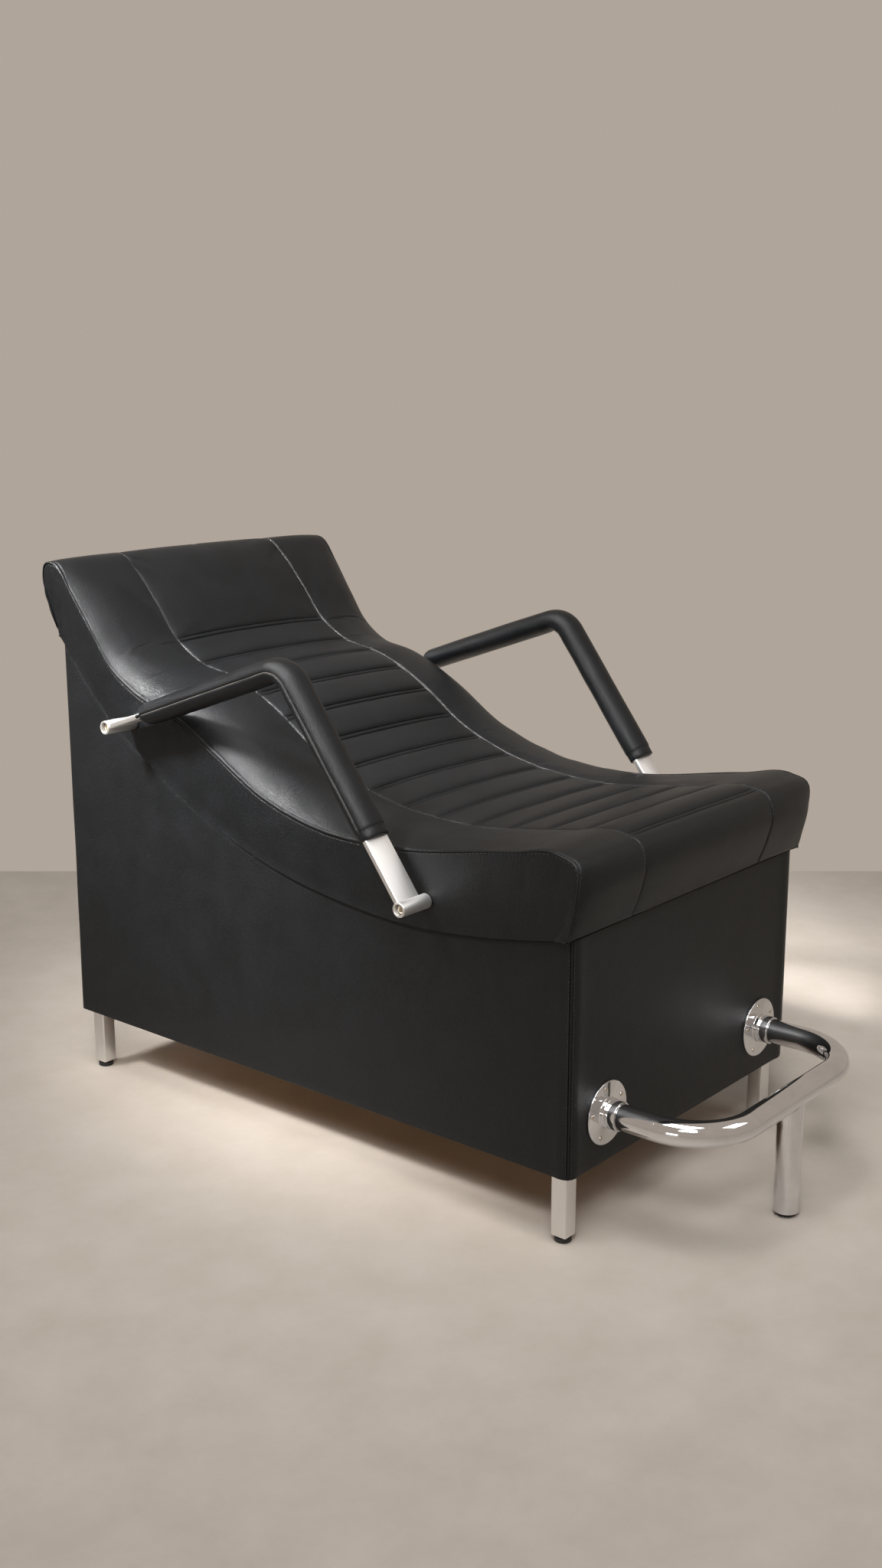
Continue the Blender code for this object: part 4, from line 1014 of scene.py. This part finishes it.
def sleeve_points(side):
    """Rows of points round a sleeve, with its seam and the folds inside its bend."""
    at, total, first, bend = arm_course()
    stations, hem = sleeve_stations(total)
    points = np.array([arm_ring(at, distance, side, sleeve_section(*size)) for distance, size in stations])
    angle = sleeve_angles()
    height = np.abs(np.sin(angle)) ** (2 / SLEEVE_POWER) * SLEEVE / 2
    from_seam = np.where(np.cos(angle) > 0.0, height, SLEEVE)
    distance = np.array([s[0] for s in stations])
    padded = (distance > SLEEVE_REAR + SLEEVE_BARE[0]) & (distance < hem - SLEEVE_BARE[1])
    seam = valley(from_seam, SLEEVE_SEAM_WIDTH, SLEEVE_SEAM_SINK)[None, :]
    into_bend = np.clip((distance - first + FOLD_REACH) / (bend + 2 * FOLD_REACH), 0.0, 1.0)
    crease = np.sin(into_bend * math.pi)[:, None] * np.maximum(-np.sin(angle), 0.0)[None, :] ** 2
    folds = -SLEEVE_FOLD * crease * (1 - np.cos(into_bend * math.tau * SLEEVE_FOLDS))[:, None]
    uneven = SLEEVE_UNEVEN * swell(points * SLEEVE_UNEVEN_FINER)
    depth = np.where(padded[:, None], seam + folds + uneven, 0.0)
    return points + tube_normals(points) * depth[:, :, None], hem, at


def tube_normals(points):
    """Directions straight out from the middle of each row."""
    out = points - points.mean(axis=1, keepdims=True)
    return out / np.linalg.norm(out, axis=2, keepdims=True)


def make_sleeve(name, side):
    """Padded leather round an arm. The line of its hem is kept for the stitches."""
    points, hem, at = sleeve_points(side)
    mesh = grid_mesh(f"arm_leather_{name}", points, sharp=60)
    sleeve = new_piece(f"arm_leather_{name}", mesh, ARM_LEATHER)
    held = np.zeros(points.shape[:2], dtype=bool)
    held[:, 0] = held[:SLEEVE_HELD[0]] = held[-SLEEVE_HELD[1]:] = True
    blown_out(sleeve, held.ravel(), SLEEVE_PRESSURE, SLEEVE_PUSH)
    dress(sleeve, "chair", "sleeve_leather", f"arm_sleeve_{name}")
    ring = np.array(arm_ring(at, hem, side, sleeve_section(SLEEVE_WIDTH - 2 * HEM_ROW, SLEEVE - 2 * HEM_ROW)))
    return ring, tube_normals(ring[None])[0]


def outward(side, x, place):
    """Frame whose z axis points out of the chair's side, at x from the middle."""
    turn = Matrix.Rotation(side * math.pi / 2, 4, "Y")
    return Matrix.Translation((side * x, place.y, place.z)) @ turn


def make_arm_steel(name, side):
    """Bent flat bar with a turned boss at each end."""
    at, total, first, bend = arm_course()
    low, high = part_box("arm_bar_right")
    weld = (BOSS_R + BOSS_SINK_R) / 2
    places = [weld, *np.linspace(first, first + bend, ARM_BEND_ROWS), total - weld]
    section = bar_section(ARM_BAR_WIDTH, ARM_BAR, BAR_EDGE)
    shells = [grid_mesh("bar", [arm_ring(at, d, side, section) for d in places], sharp=50)]
    length, edge = high.x - low.x, BOSS_EDGE
    profile = [(BOSS_BORE_R, 0.0), (BOSS_R - edge, 0.0)]
    profile += [(BOSS_R - edge + x, edge + y) for x, y in rounded_steps(edge, -90, 90, 3)]
    profile += [(BOSS_R - edge + x, length - edge + y) for x, y in rounded_steps(edge, 0, 90, 3)]
    profile += [(BOSS_SINK_R + EASED, length), (BOSS_SINK_R, length - EASED),
                (BOSS_SINK_R, length - BOSS_SINK), (BOSS_BORE_R, length - BOSS_SINK)]
    shells += [lathe("boss", profile, outward(side, low.x, place), ring=True) for place in FIXINGS.values()]
    piece = new_piece(f"arm_steel_{name}", joined(f"arm_steel_{name}", shells), SATIN_STEEL)
    dress(piece, "chair", "satin_steel", f"arm_bar_{name}")


def make_arm_screw(end, name, side):
    """Domed screw with a six-sided socket, down in the boss's recess."""
    low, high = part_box(f"arm_screw_{end}_right")
    seat = high.x - low.x - SCREW_HEAD
    place = outward(side, low.x, FIXINGS[end])
    dome = [(SCREW_HEAD_R * c, seat + SCREW_HEAD_SIDE + (SCREW_HEAD - SCREW_HEAD_SIDE) * s)
            for c, s in rounded_steps(1.0, 0, 60, 6)]
    profile = [(SCREW_SHANK_R, 0.0), (SCREW_SHANK_R, seat), (SCREW_HEAD_R, seat), *dome]
    rows = turned(profile, place, SCREW_SIDES)
    rim = dome[-1][1]
    for scale, z in ((SOCKET_MOUTH, rim), (1.0, rim - EASED), (1.0, rim - SOCKET)):
        rows.append([place @ Vector((*hexagon(a, SOCKET_R * scale), z)) for a in turns(SCREW_SIDES)])
    piece = new_piece(f"arm_cap_screw_{end}_{name}", grid_mesh("cap_screw", rows, sharp=30), NICKEL)
    dress(piece, "chair", "nickel_steel", f"arm_screw_{end}_{name}")


def hexagon(angle, across):
    """Point of a six-sided outline in a direction."""
    sector = (angle + math.pi / 6) % (math.pi / 3) - math.pi / 6
    radius = across * math.cos(math.pi / 6) / math.cos(sector)
    return radius * math.cos(angle), radius * math.sin(angle)


# Footrest

TUBE_LOW, TUBE_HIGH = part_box("footrest_bar")
TUBE_R = (TUBE_HIGH.z - TUBE_LOW.z) / 2
FOOTREST_HEIGHT = (TUBE_HIGH.z + TUBE_LOW.z) / 2
FOOTREST_Y = TUBE_LOW.y + TUBE_R
FLANGE_LOW, FLANGE_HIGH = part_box("footrest_flange_right")
FLANGE_X = (FLANGE_LOW.x + FLANGE_HIGH.x) / 2
FLANGE_R = (FLANGE_HIGH.z - FLANGE_LOW.z) / 2
FLANGE_Y = FLANGE_HIGH.y


def footrest_course():
    """Plan places and directions along the bent tube."""
    course = [(Vector((-FLANGE_X, FLANGE_Y)), Vector((0, -1)))]
    for side, first in ((-1, 180), (1, 270)):
        centre = Vector((side * (FLANGE_X - FOOTREST_BEND_R), FOOTREST_Y + FOOTREST_BEND_R))
        for x, y in rounded_steps(1.0, first, 90, FOOTREST_BEND_STEPS):
            course.append((centre + FOOTREST_BEND_R * Vector((x, y)), Vector((-y, x))))
    course.append((Vector((FLANGE_X, FLANGE_Y)), Vector((0, 1))))
    return course


def make_footrest_tube():
    """Bent tube with its inner wall, open where the flanges close it."""
    rows = []
    for radius, course in ((TUBE_R, footrest_course()), (TUBE_R - TUBE_WALL, footrest_course()[::-1])):
        for point, direction in course:
            across = Vector((direction.y, -direction.x))
            ring = []
            for angle in turns(TUBE_SIDES):
                flat = point + across * (radius * math.cos(angle))
                ring.append((flat.x, flat.y, FOOTREST_HEIGHT + radius * math.sin(angle)))
            rows.append(ring)
    tube = new_piece("footrest_tube", grid_mesh("footrest_tube", rows, ring=True, sharp=50), CHROME)
    dress(tube, "chair", "chrome", "footrest_bar")


def make_flange(name, side):
    """Spun plate with a stepped collar round the tube."""
    bore, neck = TUBE_R + GAP, COLLAR_R - COLLAR_STEP
    rim = [(FLANGE_R - FLANGE_EDGE + x, FLANGE - FLANGE_EDGE + y)
           for x, y in rounded_steps(FLANGE_EDGE, 0, 90, 4)]
    root = [(COLLAR_R + FLANGE_ROOT_R - x, FLANGE + FLANGE_ROOT_R - y)
            for x, y in rounded_steps(FLANGE_ROOT_R, 90, -90, 3)]
    step = [(neck + (COLLAR_R - neck) * c, COLLAR_BASE - COLLAR_STEP + COLLAR_STEP * s)
            for c, s in rounded_steps(1.0, 0, 90, 3)]
    lip = [(neck - COLLAR_LIP_R + x, COLLAR_LENGTH - COLLAR_LIP_R + y)
           for x, y in rounded_steps(COLLAR_LIP_R, 0, 90, 3)]
    profile = [(bore, 0.0), (FLANGE_R, 0.0), *rim, *root, *step, *lip, (bore, COLLAR_LENGTH)]
    spot = Matrix.Translation((side * FLANGE_X, FLANGE_Y, FOOTREST_HEIGHT))
    place = spot @ Matrix.Rotation(math.pi / 2, 4, "X")
    mesh = lathe(f"flange_plate_{name}", profile, place, FLANGE_SIDES, ring=True, sharp=35)
    plate = new_piece(f"flange_plate_{name}", mesh, CHROME)
    dress(plate, "chair", "chrome", f"footrest_flange_{name}")
    return place


def make_post():
    """Tube coped to the underside of the footrest bar."""
    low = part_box("footrest_post")[0].z
    rows = []
    for radius in (TUBE_R, TUBE_R - TUBE_WALL):
        ring_low, ring_top = [], []
        for angle in turns(TUBE_SIDES):
            x, y = radius * math.cos(angle), radius * math.sin(angle)
            under = FOOTREST_HEIGHT - math.sqrt(max(TUBE_R**2 - y**2, 0.0)) - GAP
            ring_low.append((x, FOOTREST_Y + y, low))
            ring_top.append((x, FOOTREST_Y + y, under))
        rows += [ring_low, ring_top] if radius == TUBE_R else [ring_top, ring_low]
    post = new_piece("footrest_post_tube", grid_mesh("footrest_post_tube", rows, ring=True, sharp=50), CHROME)
    dress(post, "chair", "chrome", "footrest_post")


# Legs and feet

def make_leg(corner):
    """Square tube with eased edges, its top plate and its stud."""
    low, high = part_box(f"leg_{corner}")
    middle = (low + high) / 2
    outer = bar_section(LEG, LEG, LEG_EDGE)
    inner = bar_section(LEG - 2 * LEG_WALL, LEG - 2 * LEG_WALL, LEG_INNER_EDGE)
    plate = bar_section(high.x - low.x, high.y - low.y, LEG_PLATE_EDGE)
    end, under = LEG_END_Z, LEG_PLATE_TOP - LEG_PLATE
    shells = []
    for levels, ring in ((((outer, end), (outer, under), (inner, under), (inner, end)), True),
                         (((plate, under), (plate, LEG_PLATE_TOP)), False)):
        rows = [[(middle.x + x, middle.y + y, z) for x, y in section] for section, z in levels]
        shells.append(grid_mesh("shell", rows, ring=ring, sharp=50))
    tip = 0.001
    stud = [(LEG_STUD_R, LEG_PLATE_TOP - tip), (LEG_STUD_R, high.z - tip), (LEG_STUD_R - tip, high.z)]
    shells.append(lathe("stud", stud, Matrix.Translation((middle.x, middle.y, 0.0)), sides=24))
    leg = new_piece(f"leg_tube_{corner}", joined(f"leg_tube_{corner}", shells), SATIN_ALUMINIUM)
    dress(leg, "chair", "satin_aluminium", f"leg_{corner}")


def make_foot(name, node, body, radius, height, taper):
    """Moulded pad with eased rims, a neck and a stud up into its plug."""
    low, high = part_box(node)
    middle = (low + high) / 2
    edge, stud = FOOT_EDGE, FOOT_STUD_R
    profile = [(radius - taper - edge, 0.0)]
    profile += [(radius - taper - edge + x, edge + y) for x, y in rounded_steps(edge, -90, 90, 4)]
    profile += [(radius - edge + x, height - edge + y) for x, y in rounded_steps(edge, 0, 90, 4)]
    tip = 0.0006
    profile += [(stud + EASED / 2, height), (stud, height + EASED),
                (stud, high.z - tip), (stud - tip, high.z)]
    mesh = lathe(name, profile, Matrix.Translation((middle.x, middle.y, 0.0)), sides=48)
    dress(new_piece(name, mesh, BLACK_PLASTIC), body, "foot_plastic", node)


# Stitches and screws

def run_tree(name, **kinds):
    """Geometry tree with named inputs: the tree, what it is given and its result."""
    tree = bpy.data.node_groups.new(name, "GeometryNodeTree")
    for label, kind in {"Geometry": "Geometry", **kinds, "Material": "Material"}.items():
        tree.interface.new_socket(label, in_out="INPUT", socket_type=f"NodeSocket{kind}")
    tree.interface.new_socket("Geometry", in_out="OUTPUT", socket_type="NodeSocketGeometry")
    return tree, tree.nodes.new("NodeGroupInput").outputs, tree.nodes.new("NodeGroupOutput").inputs


def finish_run(tree, given, result, laid):
    """Ends a tree: shapes laid on points become one real mesh of the given material."""
    instances = add(tree, "GeometryNodeInstanceOnPoints", laid)
    whole = add(tree, "GeometryNodeRealizeInstances", {"Geometry": instances.outputs["Instances"]})
    smooth = add(tree, "GeometryNodeSetShadeSmooth", {"Geometry": whole.outputs["Geometry"]})
    finish = add(tree, "GeometryNodeSetMaterial", {"Geometry": smooth.outputs["Geometry"],
                                                   "Material": given["Material"]})
    tree.links.new(finish.outputs["Geometry"], result["Geometry"])
    return tree


def stitch_tree():
    """Stitches laid along lines, each lying on the leather: spacing, length and thickness are inputs."""
    tree, given, result = run_tree("stitch_run", Spacing="Float", Length="Float", Thread="Float")
    line = add(tree, "GeometryNodeMeshToCurve", {"Mesh": given["Geometry"]})
    spaced = add(tree, "GeometryNodeResampleCurve",
                 {"Curve": line.outputs["Curve"], "Length": given["Spacing"]}, mode="LENGTH")
    tangent = add(tree, "GeometryNodeInputTangent")
    face_up = add(tree, "GeometryNodeInputNamedAttribute", {"Name": "face_up"}, data_type="FLOAT_VECTOR")
    run = add(tree, "FunctionNodeAlignRotationToVector", {"Vector": tangent.outputs["Tangent"]}, axis="X")
    lie = add(tree, "FunctionNodeAlignRotationToVector",
              {"Rotation": run.outputs["Rotation"], "Vector": face_up.outputs["Attribute"]},
              axis="Z", pivot_axis="X")
    size = add(tree, "ShaderNodeCombineXYZ",
               {"X": given["Length"], "Y": given["Thread"], "Z": given["Thread"]})
    bead = add(tree, "GeometryNodeMeshUVSphere", {"Segments": 7, "Rings": 5, "Radius": 0.5})
    along = add(tree, "GeometryNodeTransform", {"Geometry": bead.outputs["Mesh"],
                                                "Rotation": (0.0, math.pi / 2, 0.0)})
    return finish_run(tree, given, result, {
        "Points": spaced.outputs["Curve"], "Instance": along.outputs["Geometry"],
        "Rotation": lie.outputs["Rotation"], "Scale": size.outputs["Vector"]})


def screw_tree():
    """Small domed screws on points, each standing along its point's direction: the radius is an input."""
    tree, given, result = run_tree("screw_ring", Radius="Float")
    face_up = add(tree, "GeometryNodeInputNamedAttribute", {"Name": "face_up"}, data_type="FLOAT_VECTOR")
    stand = add(tree, "FunctionNodeAlignRotationToVector", {"Vector": face_up.outputs["Attribute"]}, axis="Z")
    dome = add(tree, "GeometryNodeMeshUVSphere", {"Segments": 20, "Rings": 12, "Radius": 1.0})
    flat = add(tree, "GeometryNodeTransform", {"Geometry": dome.outputs["Mesh"],
                                               "Scale": (1.0, 1.0, FLANGE_SCREW_DOME)})
    size = add(tree, "ShaderNodeCombineXYZ", {axis: given["Radius"] for axis in "XYZ"})
    return finish_run(tree, given, result, {
        "Points": given["Geometry"], "Instance": flat.outputs["Geometry"],
        "Rotation": stand.outputs["Rotation"], "Scale": size.outputs["Vector"]})


def laid_out(name, runs, tree, inputs, material):
    """Piece that a tree makes from runs of points with directions, turned into a plain mesh."""
    points, ups, edges = [], [], []
    for line, facing in runs:
        edges += [(len(points) + i, len(points) + i + 1) for i in range(len(line) - 1)]
        points += [tuple(p) for p in line]
        ups += [tuple(f) for f in facing]
    guide = bpy.data.meshes.new("guide")
    guide.from_pydata(points, edges, [])
    guide.attributes.new("face_up", "FLOAT_VECTOR", "POINT").data.foreach_set("vector", np.ravel(ups))
    piece = linked(name, guide)
    step = piece.modifiers.new("run", "NODES")
    step.node_group = tree
    sockets = {s.name: s.identifier for s in tree.interface.items_tree if s.in_out == "INPUT"}
    for label, value in {**inputs, "Material": material}.items():
        step[sockets[label]] = value
    depsgraph = bpy.context.evaluated_depsgraph_get()
    mesh = bpy.data.meshes.new_from_object(piece.evaluated_get(depsgraph), depsgraph=depsgraph)
    piece.modifiers.remove(step)
    piece.data = mesh
    mesh.name = name
    return piece


def both_sides(points, normals, column):
    """A column of the cushion's grid and its mirror image, as runs of points with directions."""
    mirror = points.shape[1] - column
    return [(points[:, c], normals[:, c]) for c in (column, mirror)]


def divided(runs, number):
    """The first stretch and the rest of each run, cut at a row."""
    return [(p[:number], n[:number]) for p, n in runs], [(p[number - 1:], n[number - 1:]) for p, n in runs]


def seat_runs(points, normals, line_rows, rows):
    """Stitch rows of the cushion: those of the long seams, and all the others."""
    pale = both_sides(points, normals, LONG_ROW_COLUMN)
    turn = int(np.searchsorted(rows, NOSE_TURN))
    last = int(np.searchsorted(rows, rows[-1] - REAR_BARE))
    front, dark = divided(both_sides(points[:last], normals[:last], TOP_ROW_COLUMN), turn)
    below, dots = divided(both_sides(points[:last], normals[:last], SIDE_ROW_COLUMN), turn)
    dark, dots = dark + below, dots + front
    across = np.concatenate((np.arange(-SEAM_COLUMN, 0), np.arange(SEAM_COLUMN + 1)))
    for line in line_rows:
        for offset in (-CHANNEL_ROW, CHANNEL_ROW):
            row = int(np.argmin(np.abs(rows - rows[line] - offset)))
            dark.append((points[row, across], normals[row, across]))
    return pale, dark, dots


def corner_runs(plan, facing, corner):
    """Stitch rows beside the piping of the box's front corners."""
    runs = []
    for i in np.flatnonzero(np.isclose(corner, CORNER_ROW)):
        place = plan[i] + facing[i] * corner_depth(corner[i:i + 1])[0]
        top = float(seat_height(np.array([plan[i][1]]))[0])
        heights = np.linspace(BOX_BOTTOM + CORNER_ROW_LOW, top - CORNER_ROW_TOP, CORNER_ROW_POINTS)
        line = [(place[0], place[1] + FRONT_Y, z) for z in heights]
        runs.append((line, [(*facing[i], 0.0)] * len(line)))
    return runs


def make_stitches(seat, box, hems):
    """Threads of the long seams, of the outer seams, and of the channels, corners and hems."""
    pale, dark, dots = seat_runs(*seat)
    dark += [(np.concatenate((ring, ring[:1])), np.concatenate((up, up[:1]))) for ring, up in hems]
    tree = stitch_tree()
    for name, runs, stitch, material in (
            ("long_seam_thread", pale, LONG_STITCH, PALE_THREAD),
            ("edge_seam_thread", dots, EDGE_STITCH, PALE_THREAD),
            ("channel_thread", dark + corner_runs(*box), CHANNEL_STITCH, DARK_THREAD)):
        sizes = dict(zip(("Spacing", "Length", "Thread"), stitch))
        dress(laid_out(name, runs, tree, sizes, material), "chair", "seat_leather")


def make_flange_screws(places):
    """Screws that hold the flanges to the front panel."""
    runs = []
    for place in places:
        for turn in turns(FLANGE_SCREWS):
            angle = math.radians(FLANGE_SCREW_START) + turn
            across, up = FLANGE_SCREW_CIRCLE * math.cos(angle), FLANGE_SCREW_CIRCLE * math.sin(angle)
            runs.append(([place @ Vector((across, up, FLANGE))], [place.to_3x3() @ Vector((0, 0, 1))]))
    piece = laid_out("flange_screws", runs, screw_tree(), {"Radius": FLANGE_SCREW_R}, NICKEL)
    dress(piece, "chair", "chrome")


# Frame pieces that keep their CAD shape

def finish_frame_pieces():
    """Gives the frame's own pieces that stay in view their materials."""
    looks = {"plywood": PLYWOOD, "timber": TIMBER, "nickel_steel": NICKEL, "plug_plastic": BLACK_PLASTIC}
    for row in frame["record"]["subparts"]:
        node = frame["nodes"][row["node"]]
        if row["material_slot"] in looks and not node.hide_render:
            node.data.materials.clear()
            node.data.materials.append(looks[row["material_slot"]])


# Stage

def make_floor():
    """Pale cloudy stone floor that ends where the wall stands behind the chair."""
    yaw = math.radians(CAMERA_YAW)
    ahead, side = Vector((math.sin(yaw), math.cos(yaw), 0.0)), Vector((math.cos(yaw), -math.sin(yaw), 0.0))
    eye = Vector((CAMERA_X, CAMERA_U + FRONT_Y, 0.0))
    near, far, half, clouds_to_a_metre = -0.8, 4.08, 2.6, 9.0
    spots = ((near, -half), (near, half), (far, half), (far, -half))
    mesh = bpy.data.meshes.new("floor")
    mesh.from_pydata([tuple(eye + ahead * a + side * s) for a, s in spots], [], [(0, 1, 2, 3)])
    made, tree, shader = blank_material("floor_stone", Roughness=0.55)
    place = add(tree, "ShaderNodeTexCoord").outputs["Object"]
    cloud = add(tree, "ShaderNodeTexNoise", {"Vector": place, "Scale": clouds_to_a_metre, "Detail": 9.0,
                                             "Roughness": 0.66})
    surfaced(tree, shader, cloud.outputs["Fac"], ("#b0a69a", "#bcb2a8"))
    new_piece("floor", mesh, made)


def make_world():
    """Even soft light, and a pale wall colour that shows behind the chair and in its metal."""
    world = bpy.data.worlds.new("studio")
    bpy.context.scene.world = world
    world.use_nodes = True
    tree = world.node_tree
    tree.nodes.clear()
    ray = add(tree, "ShaderNodeLightPath").outputs
    seen = ray["Is Camera Ray"]
    for kind in ("Is Glossy Ray", "Is Transmission Ray"):
        seen = add(tree, "ShaderNodeMath", {0: seen, 1: ray[kind]}, operation="MAXIMUM").outputs["Value"]
    room = add(tree, "ShaderNodeBackground", {"Color": colour("#dcdad8"), "Strength": 0.20})
    wall = add(tree, "ShaderNodeBackground", {"Color": colour("#b0a59a"), "Strength": 1.0})
    mix = add(tree, "ShaderNodeMixShader", {0: seen, 1: room.outputs["Background"],
                                            2: wall.outputs["Background"]})
    add(tree, "ShaderNodeOutputWorld", {"Surface": mix.outputs["Shader"]})


def make_lamp(name, place, target, width, depth, power, spread_angle):
    """Softbox turned to a target. A small spread lights little beside it."""
    lamp = bpy.data.lights.new(name, "AREA")
    lamp.shape = "RECTANGLE"
    lamp.size, lamp.size_y, lamp.energy = width, depth, power
    lamp.spread = math.radians(spread_angle)
    made = linked(name, lamp)
    made.location = place
    made.rotation_euler = (Vector(target) - Vector(place)).to_track_quat("-Z", "Y").to_euler()


def make_camera():
    """Camera at the photograph's place and angle."""
    lens = bpy.data.cameras.new("camera")
    lens.sensor_width = 36.0
    lens.lens = FOCAL_PIXELS * lens.sensor_width / PICTURE_HEIGHT
    camera = linked("camera", lens)
    camera.location = (CAMERA_X, CAMERA_U + FRONT_Y, CAMERA_Z)
    camera.rotation_euler = (math.radians(90 + CAMERA_PITCH), 0.0, math.radians(-CAMERA_YAW))
    bpy.context.scene.camera = camera


make_camera()
seat = make_cushion()
box_lines = make_box()
hems = []
for label, sign in (("left", -1), ("right", 1)):
    hems.append(make_sleeve(label, sign))
    make_arm_steel(label, sign)
    for end in ("front", "rear"):
        make_arm_screw(end, label, sign)
make_footrest_tube()
flanges = [make_flange(label, sign) for label, sign in (("left", -1), ("right", 1))]
make_post()
for corner in ("front_left", "front_right", "rear_left", "rear_right"):
    make_leg(corner)
    make_foot(f"foot_pad_{corner}", f"levelling_foot_{corner}", f"foot_{corner}", *FOOT_PAD)
make_foot("post_foot_pad", "footrest_foot", "foot_post", *POST_PAD)
make_stitches(seat, box_lines, hems)
make_flange_screws(flanges)
finish_frame_pieces()

make_floor()
make_world()
for lamp_row in LAMPS:
    make_lamp(*lamp_row)
bpy.context.scene.view_settings.view_transform = "Standard"
